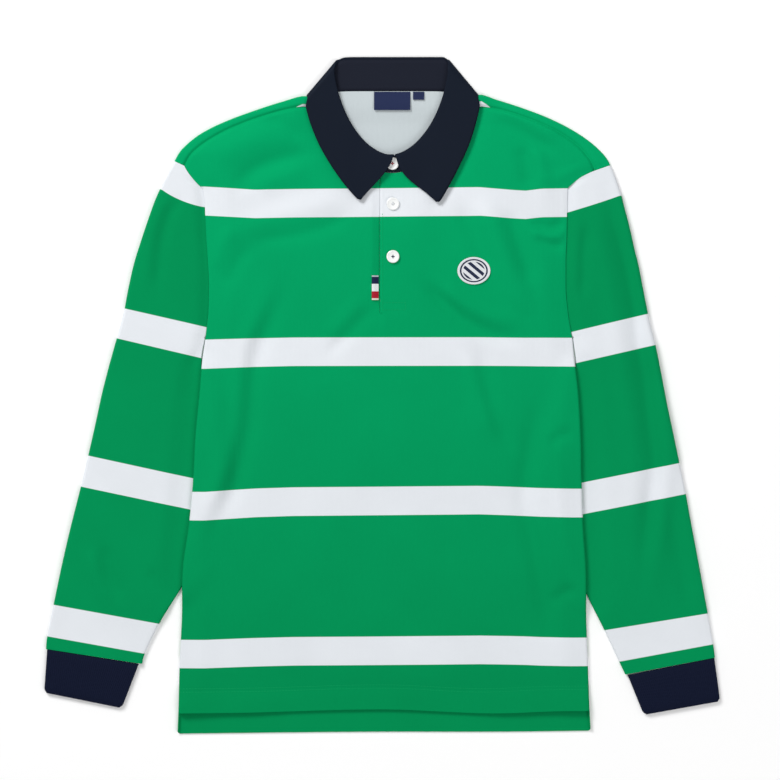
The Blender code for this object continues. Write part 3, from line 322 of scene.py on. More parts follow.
COLLAR_FRONT = {
    # angle round the neck, edge x, edge y, bow of the line from roll to edge, strip width
    "right": (
        (8.0, -86.0, 327.0, 0.0, STRIP),
        (20.0, -82.5, 312.0, 0.0, STRIP),
        (35.0, -72.5, 286.0, 0.0, STRIP),
        (50.0, -58.5, 261.0, 0.0, STRIP),
        (65.0, -43.0, 239.0, 0.0, STRIP),
        (78.2, -31.2, 225.2, 1.1, 3.4),
        (86.0, -28.2, 222.2, 2.2, 2.4),
        (94.0, -24.0, 220.6, 3.4, 0.3),
    ),
    "left": (
        (8.0, 110.3, 327.0, 0.0, STRIP),
        (20.0, 107.5, 313.0, 0.0, STRIP),
        (35.0, 99.5, 286.0, 0.0, STRIP),
        (50.0, 88.0, 260.0, 0.0, STRIP),
        (65.0, 75.0, 235.0, 0.0, STRIP),
        (75.5, 67.2, 221.8, -2.4, 3.4),
        (80.5, 64.4, 218.6, -4.6, 2.4),
        (84.5, 60.8, 218.4, -6.9, 0.3),
    ),
}
BAND_TAB = {"right": (95.0, 97.0, 99.0), "left": (87.0, 91.0, 95.0, 99.0)}
TAB_DROP = {"right": 1.6, "left": 0.0}
TAB_STRIP = -1.6        # the ends rise past the leaf, up to the line of the roll
TAB_START = -20.0
TAB_RUN = 14.0

BUTTONS = (
    # name, node, x, y
    ("neck_button", "button_1", 11.8, 261.9),
    ("upper_button", "button_2", 12.3, 216.3),
    ("lower_button", "button_3", 12.3, 156.7),
)
BUTTON_PROFILE = (
    # radius, height
    (0.0, 0.0),
    (5.4, 0.0),
    (6.9, 0.5),
    (7.25, 1.1),
    (7.1, 1.7),
    (6.5, 2.1),
    (5.9, 2.1),
    (5.2, 1.8),
    (4.4, 1.5),
    (0.0, 1.45),
)
HOLE_SPREAD, HOLE_RADIUS = 1.5, 0.6
THREAD_HEIGHT, THREAD_APART, THREAD_RADIUS = 1.75, 0.22, 0.2

FLAG_TAB = (-11.5, 107.8, -3.9, 135.5)
NECK_LABEL = (-9.0, 322.2, 31.9, 342.9)
SIZE_TAB = (35.0, 333.9, 47.7, 342.9)
LABEL_RISE = 1.2
BADGE = {"x": 103.6, "y": 140.8, "half_x": 18.6, "half_y": 15.5}
BADGE_CLOTH, BADGE_RIM = 0.8, 0.5
RIM_RADIUS, RIM_WIDTH = 0.93, 0.07      # as shares of the oval's size

HEM_STITCHES = (24.0, 27.8)      # rows above the front hem
HEM_GROOVE = 0.35
SHOULDER_DIP, ARMHOLE_DIP, DIP_REACH, SEAM_REACH = 1.9, 0.6, 1.9, 2.2
FOLD_STRENGTH, SWELL_STRENGTH = 1.5, 1.4
FOLD_END, FOLD_START = 0.3, 0.25      # share of its length over which a fold fades in, and its share at its end
SLEEVE_AIR, SLEEVE_SWELL = 1.5, 0.6
AIR_FROM_Y, AIR_TO_Y = -280.0, -220.0      # the sleeves' air fades out above the cuffs
SLEEVE_SINK, SINK_REACH = 5.2, 9.0      # the sleeve sinks this much deeper beside the armhole than its seam
ARMHOLE_GAP = 0.1
FACING_Y = -346.0      # the tail is turned up this far inside, so its printed face shows there
BACK_PRINT_SHIFT = 23.0      # the back is printed this much further up than the front
OUTWARD = {"right": -1.0, "left": 1.0}
SLOT_EDGE = {"right": SLOT_RIGHT, "left": SLOT_LEFT}
TOP_ROW = 233.9

# The print and the patterns of the cloths, in mm
STRIPE_PERIOD, STRIPE_CENTRE, STRIPE_WIDTH, STRIPE_BLUR = 168.55, 217.5, 32.2, 0.2
GREENS_FROM, GREENS_TO = -360.0, 290.0      # the green darkens a little from here towards the hem
WALE, COURSE = 1.4, 1.2      # drawn coarser than the real 0.8, so that the stitches show
TWILL, RIB, SATIN, TAPE = 1.2, 2.4, 0.7, 0.8


# Shape functions

def smoothstep(value):
    t = np.clip(value, 0.0, 1.0)
    return t * t * (3.0 - 2.0 * t)


def fade(distance, reach):
    """1 at no distance, easing to 0 at the reach."""
    return 1.0 - smoothstep(np.asarray(distance, float) / reach)


def bell(distance, reach):
    """1 at no distance, falling away smoothly: a third is left at the reach."""
    return np.exp(-((distance / reach) ** 2))


def curve(places, values, steady=False):
    """A cubic through the values, as a function of the place. A steady one never overshoots them."""
    xs, ys = np.array(places, float), np.array(values, float)
    if xs[0] > xs[-1]:
        xs, ys = xs[::-1], ys[::-1]
    slopes = np.gradient(ys, xs)
    if steady:
        steps = np.diff(ys) / np.diff(xs)
        both = steps[:-1] * steps[1:]
        mean = 2.0 * both / np.where(both > 0.0, steps[:-1] + steps[1:], 1.0)
        slopes = np.concatenate(([steps[0]], np.where(both > 0.0, mean, 0.0), [steps[-1]]))

    def at(x):
        x = np.asarray(x, float)
        held = np.clip(x, xs[0], xs[-1])
        k = np.clip(np.searchsorted(xs, held, side="right") - 1, 0, len(xs) - 2)
        width = xs[k + 1] - xs[k]
        t = (held - xs[k]) / width
        value = ys[k] + (ys[k + 1] - ys[k]) * t * t * (3.0 - 2.0 * t)
        value = value + width * (slopes[k] * t * (1.0 - t) ** 2 + slopes[k + 1] * t * t * (t - 1.0))
        return value + slopes[0] * np.minimum(x - xs[0], 0.0) + slopes[-1] * np.maximum(x - xs[-1], 0.0)

    return at


def column(table, k):
    return [row[k] for row in table]


def lengths(points):
    """How far along a line each of its points is."""
    return np.concatenate(([0.0], np.cumsum(np.linalg.norm(np.diff(points, axis=0), axis=1))))


def square_to(vector):
    return np.array((-vector[1], vector[0]))


def segment_gaps(x, y, start, span):
    """Distance from each point to each segment, and how far along the segment it is."""
    to_x, to_y = np.asarray(x, float)[..., None] - start[:, 0], np.asarray(y, float)[..., None] - start[:, 1]
    share = np.clip((to_x * span[:, 0] + to_y * span[:, 1]) / (span * span).sum(1), 0.0, 1.0)
    return np.hypot(to_x - share * span[:, 0], to_y - share * span[:, 1]), share


def loop_distance(loop):
    """Distance from points to the area inside a loop, 0 within it."""
    start = np.array(loop, float)
    ahead = np.roll(start, -1, axis=0)
    span = ahead - start
    rise = np.where(span[:, 1] == 0.0, 1.0, span[:, 1])

    def at(x, y):
        gaps, _ = segment_gaps(x, y, start, span)
        level = np.asarray(y, float)[..., None]
        crosses = (start[:, 1] > level) != (ahead[:, 1] > level)
        reach = start[:, 0] + (level - start[:, 1]) / rise * span[:, 0]
        inside = (crosses & (np.asarray(x, float)[..., None] < reach)).sum(-1) % 2 == 1
        return np.where(inside, 0.0, gaps.min(-1))

    return at


def fold_relief(folds, x, y):
    """Height of all soft folds at the points."""
    total = np.zeros(np.shape(x))
    for height, width, line in folds:
        points = np.array(line, float)
        places = np.arange(len(points))
        fine = np.linspace(0, len(points) - 1, 6 * (len(points) - 1) + 1)
        smooth = np.stack([curve(places, points[:, 0])(fine), curve(places, points[:, 1])(fine)], 1)
        gone = lengths(smooth)
        gaps, share = segment_gaps(x, y, smooth[:-1], np.diff(smooth, axis=0))
        nearest = gaps.argmin(-1)
        along = gone[nearest] + np.take_along_axis(share, nearest[..., None], -1)[..., 0] * np.diff(gone)[nearest]
        end = np.minimum(along, gone[-1] - along) / (FOLD_END * gone[-1])
        total = total + height * smoothstep(FOLD_START + end) * bell(gaps.min(-1), width)
    return total


fold_x = {
    "right": curve(column(SIDE_FOLD, 0), column(SIDE_FOLD, 1)),
    "left": curve(column(SIDE_FOLD, 0), column(SIDE_FOLD, 2)),
}
armhole_x = {
    "right": curve(column(ARMHOLE, 1), column(ARMHOLE, 0), steady=True),
    "left": curve(column(ARMHOLE, 3), column(ARMHOLE, 2), steady=True),
}
shoulder_y = {side: curve(column(t, 0), column(t, 1)) for side, t in SHOULDER.items()}
seam_x, seam_y = (
    {side: curve(column(t, 0), column(t, k), steady=True) for side, t in SHOULDER.items()} for k in (2, 3)
)
front_hem_y = curve(column(FRONT_HEM, 0), column(FRONT_HEM, 1))
tail_y = curve(column(TAIL, 0), column(TAIL, 1))
tucked_distance = {side: loop_distance(loop) for side, loop in TUCKED.items()}
leaf_distance = loop_distance(LEAF_UNDER)
wing_lines = [np.array(COLLAR_FRONT[side], float)[:, 1:3] for side in ("right", "left")]


def edge_x(side, y):
    """The body's side: the side fold, or the armhole seam above it."""
    return np.where(np.asarray(y) <= UNDERARM_Y, fold_x[side](y), armhole_x[side](y))


def near_tucked(x, y):
    """1 over the tucked stretches of the sleeves, easing to 0 beside them."""
    return np.maximum(*(fade(distance(x, y), LIFT_REACH) for distance in tucked_distance.values()))


def body_under(x, y):
    """Height of the body's underside: it lies over the sleeves' inner stretches and the back of the collar."""
    return SLEEVE_LIFT * near_tucked(x, y) + LEAF_LIFT * fade(leaf_distance(x, y), LIFT_REACH)


def edge_distance(x, y):
    """How far inside the body's outline a point is."""
    sides = np.minimum(x - edge_x("right", y), edge_x("left", y) - x)
    shoulder = np.where(x < SEAM_NECK["x"], shoulder_y["right"](x), shoulder_y["left"](x)) - y
    return np.where(y < FOLDS_TO_Y, sides, np.minimum(sides, shoulder))


def neck_near(x, y):
    """1 on and inside the neck seam, easing to 0 outside it."""
    across = np.abs(x - SEAM_NECK["x"]) / SEAM_NECK["half"]
    down = np.maximum(0.0, SEAM_NECK["y"] - y) / SEAM_NECK["depth"]
    size = (across ** NECK_POWER + down ** NECK_POWER) ** (1.0 / NECK_POWER)
    return fade((size - 1.0) * SEAM_NECK["half"], NECK_REACH)


def neck_top(x):
    """Height of the front along the neck seam: lower at the throat."""
    return THROAT_TOP + (NECK_TOP - THROAT_TOP) * smoothstep((np.abs(x - SEAM_NECK["x"]) - THROAT_HALF) / THROAT_RAMP)


def swell(x, y):
    """The slow rise and fall of cloth that isn't ironed flat."""
    return (0.35 * np.sin(x / 47.0 + 1.3 * np.sin(y / 83.0)) + 0.3 * np.sin(y / 39.0 + x / 71.0 + 2.0)
            + 0.15 * np.sin(x / 19.0 - y / 31.0))


def body_top(x, y):
    """Height of the front's upper face, with no placket."""
    x, y = np.asarray(x, float), np.asarray(y, float)
    inside = edge_distance(x, y)
    edge = (EDGE_HEIGHT - FLAT_HEIGHT) * fade(inside, EDGE_REACH)
    soft = AIR * smoothstep(inside / AIR_REACH) * smoothstep((y - HEM_Y) / AIR_HEM_REACH)
    loose = smoothstep((inside + 1.0) / LOOSE_REACH) * smoothstep((y - HEM_Y - 4.0) / LOOSE_HEM_REACH)
    relief = FOLD_STRENGTH * fold_relief(BODY_FOLDS, x, y)
    soft = soft + (relief + SWELL_STRENGTH * swell(x, y) * smoothstep(inside / SWELL_REACH)) * loose
    plain = body_under(x, y) + np.maximum(FLAT_HEIGHT + edge + soft, LEAST_HEIGHT)
    return plain + (neck_top(x) - plain) * neck_near(x, y)


def beside_wings(x, y):
    """1 under the edges of the wings, easing to 0 beside them."""
    gaps = [segment_gaps(x, y, line[:-1], np.diff(line, axis=0))[0].min(-1) for line in wing_lines]
    return bell(np.minimum(*gaps), WING_REACH)


def front_top(x, y):
    """Height of the front's upper face: it steps up at the placket and sinks under the wings' edges."""
    x, y = np.asarray(x, float), np.asarray(y, float)
    step = PLACKET_STEP * fade(x - SLOT_LEFT, STEP_REACH) * fade(SLOT_END - y, STEP_REACH) * (x > SLOT_SIDE)
    sinks = PLACKET_DIP * bell(x - SLOT_RIGHT + DIP_OFFSET, DIP_HALF) * (x < SLOT_SIDE)
    sinks = sinks * smoothstep((y - SLOT_END) / DIP_FADE)
    ends = smoothstep((np.abs(x) - HEM_MIDDLE) / HEM_RAMP)
    lift = (HEM_LIFT + (END_LIFT - HEM_LIFT) * ends) * fade(y - HEM_Y, LIFT_FADE)
    return body_top(x, y) + (step - sinks) * (1.0 - neck_near(x, y)) + lift - WING_DIP * beside_wings(x, y)


def placket_top(x, y):
    """Height of the upper placket strip, which lies higher than the front beside it."""
    return body_top(x, y) + PLACKET_STEP * (1.0 - neck_near(x, y))


def sleeve_top(x, y):
    """Height of a sleeve's upper face, flat where it is tucked under the body."""
    tuck = near_tucked(x, y)
    relief = FOLD_STRENGTH * fold_relief(SLEEVE_FOLDS, x, y) + SLEEVE_SWELL * swell(x + 40.0, y)
    relief = relief + SLEEVE_AIR * smoothstep((y - AIR_FROM_Y) / (AIR_TO_Y - AIR_FROM_Y))
    return np.maximum(SLEEVE_HEIGHT + (TUCKED_HEIGHT - SLEEVE_HEIGHT) * tuck + relief * (1.0 - tuck), TUCKED_HEIGHT)


def leaf_top(x, y):
    """Height of the wings' upper face."""
    button_x, button_y = BUTTONS[0][2:]
    hump = BUTTON_HUMP * fade(np.hypot(x - button_x, y - button_y) - HUMP_FLAT, HUMP_REACH)
    return body_top(x, y) + LEAF_OVER + hump


def neck_point(neck, angle, side, inset=0.0):
    """A point of a neck's superellipse: angle 0 is its side and 90 the middle of the front."""
    c, s = math.cos(math.radians(angle)), math.sin(math.radians(angle))
    across = math.copysign(abs(c) ** (2.0 / NECK_POWER), c)
    return (neck["x"] + OUTWARD[side] * (neck["half"] - inset) * across,
            neck["y"] - (neck["depth"] - inset) * abs(s) ** (2.0 / NECK_POWER))


def neck_seam_y(x):
    across = np.minimum(np.abs(x - SEAM_NECK["x"]) / SEAM_NECK["half"], 1.0)
    return SEAM_NECK["y"] - SEAM_NECK["depth"] * (1.0 - across ** NECK_POWER) ** (1.0 / NECK_POWER)


def back_neck_y(x):
    return BACK_NECK_Y - BACK_NECK_DROP * (np.abs(x - SEAM_NECK["x"]) / SIDE_NECK) ** 8


def shoulder_point(side, x, inward):
    """A point this far inside the shoulder fold, square to it."""
    slope = shoulder_y[side](x + 0.5) - shoulder_y[side](x - 0.5)
    length = math.hypot(1.0, slope)
    return np.array((x + inward * slope / length, shoulder_y[side](x) - inward / length))


def unit(vector):
    return vector / np.hypot(*vector)


def print_place(x, y):
    """How far up the printed stripes a point of the body is: the stripes run a little unevenly."""
    rows = [np.interp(x, STRIPE_RISE["x"], rise) for rise in STRIPE_RISE["rise"]]
    levels = STRIPE_RISE["y"]
    rise = np.full(np.shape(y), rows[0])
    for k in range(len(levels) - 1):
        t = np.clip((levels[k] - y) / (levels[k] - levels[k + 1]), 0.0, 1.0)
        rise = np.where(y < levels[k], rows[k] + (rows[k + 1] - rows[k]) * t, rise)
    return y - rise


# Making pieces

def smooth_object(name, bm, materials):
    bmesh.ops.remove_doubles(bm, verts=bm.verts, dist=0.00001)
    bmesh.ops.recalc_face_normals(bm, faces=bm.faces)
    highest = max(bm.faces, key=lambda face: face.calc_center_median().z)
    if highest.normal.z < 0.0:
        bmesh.ops.reverse_faces(bm, faces=bm.faces)
    for edge in bm.edges:
        edge.smooth = len(edge.link_faces) == 2
    mesh = bpy.data.meshes.new(name)
    for face in bm.faces:
        face.smooth = True
    bm.to_mesh(mesh)
    bm.free()
    made = bpy.data.objects.new(name, mesh)
    bpy.context.scene.collection.objects.link(made)
    for material in materials:
        mesh.materials.append(material)
    return made


def new_piece(name, bm, materials, wall=None, wrong_side=False):
    """A piece of the shirt from a bmesh, with the cloth's thickness laid inward."""
    made = smooth_object(name, bm, materials)
    if wall:
        cloth = made.modifiers.new("cloth", "SOLIDIFY")
        cloth.thickness = wall * MM
        cloth.offset = -1.0
        cloth.use_rim = True
        cloth.material_offset = 1 if wrong_side else 0
    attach(made, "root")
    return made


def lay_grid(bm, points, prints, keep=None, slots=None):
    """Adds a grid of points, rows by columns, in mm, with the print's place as its UV map."""
    rows, columns = len(points), len(points[0])
    layer = bm.loops.layers.uv.verify()
    grid = bmesh.ops.create_grid(bm, x_segments=columns - 1, y_segments=rows - 1, size=0.5)["verts"]
    where = {}
    for vert in grid:
        i, j = round((vert.co.x + 0.5) * (columns - 1)), round((vert.co.y + 0.5) * (rows - 1))
        where[vert] = (i, j)
        vert.co = Vector(points[j][i]) * MM
    dropped = []
    for face in {face for vert in grid for face in vert.link_faces}:
        i, j = (min(where[vert][k] for vert in face.verts) for k in (0, 1))
        if keep and not keep(i, j):
            dropped.append(face)
            continue
        if slots:
            face.material_index = slots(i, j)
        for loop in face.loops:
            i, j = where[loop.vert]
            loop[layer].uv = (prints[j][i][0] * MM, prints[j][i][1] * MM)
    bmesh.ops.delete(bm, geom=dropped, context="FACES")
    bmesh.ops.delete(bm, geom=[vert for vert in bm.verts if not vert.link_faces], context="VERTS")


def loft(name, rings, prints, materials):
    """A closed body through rings of points, with its two ends closed."""
    bm = bmesh.new()
    closed = [[*ring, ring[0]] for ring in rings]
    lay_grid(bm, closed, [[*row, row[0]] for row in prints])
    bmesh.ops.remove_doubles(bm, verts=bm.verts, dist=0.00001)
    ends = [edge for edge in bm.edges if len(edge.link_faces) == 1]
    bmesh.ops.holes_fill(bm, edges=ends, sides=0)
    return new_piece(name, bm, materials)


# Materials

def linear(hex_colour):
    """A colour written as sRGB hex, in linear light."""
    channels = [int(hex_colour[k:k + 2], 16) / 255.0 for k in (1, 3, 5)]
    return (*(c / 12.92 if c <= 0.04045 else ((c + 0.055) / 1.055) ** 2.4 for c in channels), 1.0)


def add_node(tree, kind, sockets=None, **settings):
    """Adds a node, with its settings, and its sockets given a value or linked to another node's output."""
    made = tree.nodes.new(kind)
    for key, value in settings.items():
        setattr(made, key, value)
    for key, value in (sockets or {}).items():
        if isinstance(value, bpy.types.NodeSocket):
            tree.links.new(value, made.inputs[key])
        else:
            made.inputs[key].default_value = value
    return made


def new_material(name, colour, roughness, sheen=0.0, coat=0.0, gloss=0.5):
    material = bpy.data.materials.new(name)
    material.use_nodes = True
    shader = material.node_tree.nodes["Principled BSDF"]
    values = {
        "Base Color": linear(colour), "Roughness": roughness, "Specular IOR Level": gloss, "Coat Weight": coat,
        "Sheen Weight": sheen, "Sheen Roughness": 0.45, "Sheen Tint": linear(colour),
    }
    for socket, value in values.items():
        shader.inputs[socket].default_value = value
    return material, material.node_tree, shader


def maths(tree, operation, *values):
    """The result of a sum with numbers or sockets."""
    return add_node(tree, "ShaderNodeMath", dict(enumerate(values)), operation=operation).outputs[0]


def wave(tree, place, length, operation="SINE"):
    """A sine or cosine along a coordinate in metres. Its length is in mm."""
    return maths(tree, operation, maths(tree, "MULTIPLY", place, 2.0 * math.pi / (length * MM)))


def remap(tree, value, low=0.0, high=1.0, new_low=0.0, new_high=1.0):
    """A number moved from one range to another, and held at its ends."""
    return add_node(tree, "ShaderNodeMapRange", {
        "Value": value, "From Min": low, "From Max": high, "To Min": new_low, "To Max": new_high,
    }).outputs[0]


def blend(tree, factor, *colours):
    """A mix of two colours, each written as hex or the output of a node."""
    first, second = (linear(one) if isinstance(one, str) else one for one in colours)
    return add_node(tree, "ShaderNodeMix", {"Factor": factor, "A": first, "B": second}, data_type="RGBA").outputs[2]


def emboss(tree, shader, height, strength, depth):
    """Shows a pattern's height as relief of the given depth in mm."""
    bump = add_node(tree, "ShaderNodeBump", {"Height": height, "Strength": strength, "Distance": depth * MM})
    tree.links.new(bump.outputs[0], shader.inputs["Normal"])


def print_coordinates(tree):
    """The UV map in metres, and its two numbers: across the cloth and along it."""
    uv = add_node(tree, "ShaderNodeUVMap").outputs["UV"]
    apart = add_node(tree, "ShaderNodeSeparateXYZ", {0: uv})
    return uv, apart.outputs["X"], apart.outputs["Y"]


def knit_height(tree, across, along, wale, course):
    """Columns of small V stitches: the height of a knitted face."""
    ribs = wave(tree, across, wale, "COSINE")
    slant = maths(tree, "MULTIPLY", ribs, 1.4)
    loops = maths(tree, "SINE", maths(tree, "MULTIPLY_ADD", along, 2.0 * math.pi / (course * MM), slant))
    return maths(tree, "MULTIPLY_ADD", loops, 0.35, ribs)


def printed_jersey(name, upper_green, lower_green):
    """Sublimation-printed interlock jersey: matt polyester with crisp white bands on green, faintly fuzzy."""
    material, tree, shader = new_material(name, upper_green, 0.82, sheen=0.03, gloss=0.04)
    uv, across, along = print_coordinates(tree)
    middle, edge = 0.5 * STRIPE_PERIOD * MM, 0.5 * STRIPE_WIDTH
    wrapped = maths(tree, "FLOORED_MODULO", maths(tree, "ADD", along, middle - STRIPE_CENTRE * MM), 2.0 * middle)
    off_centre = maths(tree, "ABSOLUTE", maths(tree, "SUBTRACT", wrapped, middle))
    band = remap(tree, off_centre, (edge + STRIPE_BLUR) * MM, (edge - STRIPE_BLUR) * MM)
    green = blend(tree, remap(tree, along, GREENS_FROM * MM, GREENS_TO * MM), lower_green, upper_green)
    mottle = add_node(tree, "ShaderNodeTexNoise", {"Vector": uv, "Scale": 14.0, "Detail": 3.0})
    shade = remap(tree, mottle.outputs[0], new_low=0.95, new_high=1.05)
    tinted = add_node(tree, "ShaderNodeVectorMath", {0: blend(tree, band, green, WHITE), "Scale": shade},
                      operation="SCALE")
    tree.links.new(tinted.outputs[0], shader.inputs["Base Color"])
    emboss(tree, shader, knit_height(tree, across, along, WALE, COURSE), 0.35, 0.12)
    return material


def jersey_wrong_side():
    """The unprinted back of the jersey: off-white, a little rougher."""
    material, tree, shader = new_material("unprinted_jersey_back", WRONG_SIDE, 0.9, gloss=0.1)
    _, across, along = print_coordinates(tree)
    emboss(tree, shader, knit_height(tree, across, along, WALE, COURSE), 0.4, 0.15)
    return material


def navy_twill(name, colour):
    """Collar twill: fine steep diagonals in dark navy polyester, matt with a weak sheen."""
    material, tree, shader = new_material(name, colour, 0.7, sheen=0.1, gloss=0.1)
    uv, across, along = print_coordinates(tree)
    ribs = wave(tree, maths(tree, "MULTIPLY_ADD", across, 0.7, along), TWILL)
    fuzz = add_node(tree, "ShaderNodeTexNoise", {"Vector": uv, "Scale": 900.0, "Detail": 2.0})
    emboss(tree, shader, maths(tree, "MULTIPLY_ADD", fuzz.outputs[0], 0.8, ribs), 0.4, 0.1)
    return material


def navy_rib():
    """Rib knit cuff: ribs along the sleeve, elastic and matt."""
    material, tree, shader = new_material("navy_rib_knit", NAVY_CUFF, 0.85, sheen=0.1, gloss=0.1)
    _, across, along = print_coordinates(tree)
    emboss(tree, shader, knit_height(tree, across, along, RIB, RIB * 0.7), 0.8, 0.3)
    return material


def woven_satin(name, colour):
    """Woven label satin: close weft threads that catch a soft gloss."""
    material, tree, shader = new_material(name, colour, 0.5, gloss=0.2)
    _, _, along = print_coordinates(tree)
    emboss(tree, shader, wave(tree, along, SATIN), 0.4, 0.08)
    return material


def button_resin():
    """Polyester resin buttons: white, polished, and clouded a little so that they look translucent."""
    material, tree, shader = new_material("white_polyester_resin", "#f1f3f2", 0.28, coat=0.3)
    place = add_node(tree, "ShaderNodeTexCoord").outputs["Object"]
    cloud = add_node(tree, "ShaderNodeTexNoise", {"Vector": place, "Scale": 260.0}).outputs[0]
    tree.links.new(blend(tree, cloud, "#eceeed", "#f8f9f8"), shader.inputs["Base Color"])
    return material


def thread(name, colour):
    """Spun polyester sewing thread: twisted plies, soft gloss."""
    material, tree, shader = new_material(name, colour, 0.6, sheen=0.1, gloss=0.15)
    place = add_node(tree, "ShaderNodeTexCoord").outputs["Object"]
    plies = add_node(tree, "ShaderNodeTexWave", {"Vector": place, "Scale": 900.0})
    emboss(tree, shader, plies.outputs["Fac"], 0.3, 0.05)
    return material


def flag_tape():
    """Woven tape in blocks of colour, from its lower end up to its folded top."""
    material, tree, shader = new_material("woven_jacquard_tape", "#e8eaee", 0.6, gloss=0.2)
    _, _, along = print_coordinates(tree)
    ramp = add_node(tree, "ShaderNodeValToRGB", {"Fac": remap(tree, along, high=(FLAG_TAB[3] - FLAG_TAB[1]) * MM)})
    ramp.color_ramp.interpolation = "CONSTANT"
    stops = ramp.color_ramp.elements
    while len(stops) < len(FLAG_BLOCKS):
        stops.new(1.0)
    for stop, (place, colour) in zip(stops, FLAG_BLOCKS):
        stop.position, stop.color = place, linear(colour)
    tree.links.new(ramp.outputs[0], shader.inputs["Base Color"])
    emboss(tree, shader, wave(tree, along, TAPE), 0.5, 0.1)
    return material


def plain_floor():
    """Matt white paper sweep."""
    return new_material("matt_white_paper", "#ffffff", 0.95)[0]


GREEN = "#00a063"
HEM_GREEN = "#008b50"
# Painted shade: the sleeves are the same jersey as the body, printed a darker green so that they look less lit
SLEEVE_SHADE_GREEN = "#008d52"
WHITE = "#e1e5ea"
WRONG_SIDE = "#c5ced1"
NAVY = "#101826"
STAND_NAVY = "#191d2a"
NAVY_CUFF = "#0f162d"
LABEL_NAVY = "#1a264c"
FLAG_BLOCKS = (
    # place from the lower end, as a share, and colour
    (0.0, "#e9e4d6"),
    (0.07, "#b0152c"),
    (0.35, "#eceef1"),
    (0.655, "#131b44"),
    (0.94, "#b9bfc6"),
)

jersey = printed_jersey("printed_interlock_jersey", GREEN, HEM_GREEN)
# The body's print in the darker sleeve green: painted shade on the sleeves
sleeve_shade_jersey = printed_jersey("darker_sleeve_interlock_painted_shade", SLEEVE_SHADE_GREEN, SLEEVE_SHADE_GREEN)
wrong_side = jersey_wrong_side()
twill = navy_twill("navy_polyester_twill", NAVY)
stand_twill = navy_twill("navy_stand_twill", STAND_NAVY)
rib = navy_rib()
label_satin = woven_satin("navy_label_satin", LABEL_NAVY)
resin = button_resin()
red_thread = thread("red_sewing_thread", "#b7283a")
navy_thread = thread("navy_sewing_thread", "#222b4c")
white_thread = thread("white_sewing_thread", "#dfe3e6")
green_thread = thread("green_sewing_thread", "#00a05f")
tape = flag_tape()


# Body panels

SIDE_STEPS = (90.0, 67.5, 45.0, 22.5, 0.0)
SHOULDER_STEPS = 28
NECK_DEGREES = np.linspace(14.0, 75.0, 22)
UPPER_STEPS = np.concatenate(([0.0, 0.008, 0.017, 0.028, 0.043, 0.062], np.linspace(0.088, 1.0, 23)))
MIDDLE_ROWS = np.linspace(TOP_ROW, SLOT_END, 33)
LOWER_STEPS = 100
TOP_SHARES = np.array((0.0, 0.04, 0.09, 0.15, 0.23, 0.36, 0.55, 0.78, 1.0))
FOLD_STEPS = 8


# How far each turn of a side fold lies inward from its edge
FOLD_INWARD = FOLD_PLAN * (1.0 - np.sin(np.radians(SIDE_STEPS)))


def half_columns(side):
    """Each column from the side inward: kind, side, x on the top row and x on the shoulder or the neck."""
    out = OUTWARD[side]
    edge, neck, start = float(edge_x(side, TOP_ROW)), SEAM_NECK["x"] + out * SIDE_NECK, SHOULDER[side][0][0]
    found = [("shoulder", side, edge - out * inward, start - out * inward) for inward in FOLD_INWARD]
    last = np.array(found[-1][2:])
    for share in np.linspace(0.0, 1.0, SHOULDER_STEPS + 1)[1:] ** 1.25:
        found.append(("shoulder", side, *(last + (neck - last) * share)))
    for k, angle in enumerate(NECK_DEGREES):
        even = neck + (SLOT_EDGE[side] - neck) * (k + 1) / (len(NECK_DEGREES) + 1)
        top = neck_point(SEAM_NECK, angle, side)[0]
        found.append(("neck", side, 0.35 * top + 0.65 * even, top))
    found.append(("neck", side, SLOT_EDGE[side], SLOT_EDGE[side]))
    return found


def body_columns():
    right, left = half_columns("right"), half_columns("left")
    slot = [("slot", "right", x, x) for x in np.linspace(SLOT_RIGHT, SLOT_LEFT, 9)[1:-1]]
    return right + slot + left[::-1], (len(right) - 1, len(right) + len(slot))


def column_x(one, y):
    """Where a column is on a lower row: it keeps its share of the way from the slot to the side."""
    kind, side, first, _ = one
    if kind == "slot":
        return np.full(np.shape(y), first)
    slot = SLOT_EDGE[side]
    return slot + (first - slot) * (edge_x(side, y) - slot) / (float(edge_x(side, TOP_ROW)) - slot)


def upper_ends(one):
    """Where a column above the top row starts on its seam, is halfway and ends on the top row."""
    kind, side, first, top = one
    lower = np.array((first, TOP_ROW))
    if kind == "shoulder":
        seam = np.array((float(seam_x[side](top)), float(seam_y[side](top))))
        edge = 0 if side == "right" else 2
        # The columns bow with the armhole's top, less and less towards the neck
        seam_end, half_end, full_end = (np.array(ARMHOLE[row][edge:edge + 2]) for row in range(3))
        share = abs(top - SHOULDER[side][0][0]) / abs(SHOULDER[side][0][0] - SHOULDER[side][-1][0])
        half = 0.5 * (seam + lower) + (half_end - 0.5 * (seam_end + full_end)) * (1.0 - share) ** 3
        return seam, half, lower
    seam = np.array((top, float(neck_seam_y(top))))
    return seam, 0.5 * (seam + lower), lower


def upper_point(ends, t):
    """A point of a column above the top row: 0 is its seam and 1 the top row."""
    seam, half, lower = ends
    return seam * (1.0 - t) + lower * t + (half - 0.5 * (seam + lower)) * 4.0 * t * (1.0 - t)


columns, slot_columns = body_columns()


def both_sides(values):
    """One number for each column: these from the right side inward and from the left side inward, else 0."""
    found = np.zeros(len(columns))
    found[:len(values)] = values
    found[-len(values):] = values[::-1]
    return found


side_drop = both_sides(1.0 - np.cos(np.radians(SIDE_STEPS)))
seam_closeness = both_sides(bell(FOLD_INWARD, SEAM_REACH))
corner_lift = both_sides(HEM_CORNER * (1.0 - np.sqrt(1.0 - np.maximum(1.0 - FOLD_INWARD / HEM_CORNER, 0.0) ** 2)))


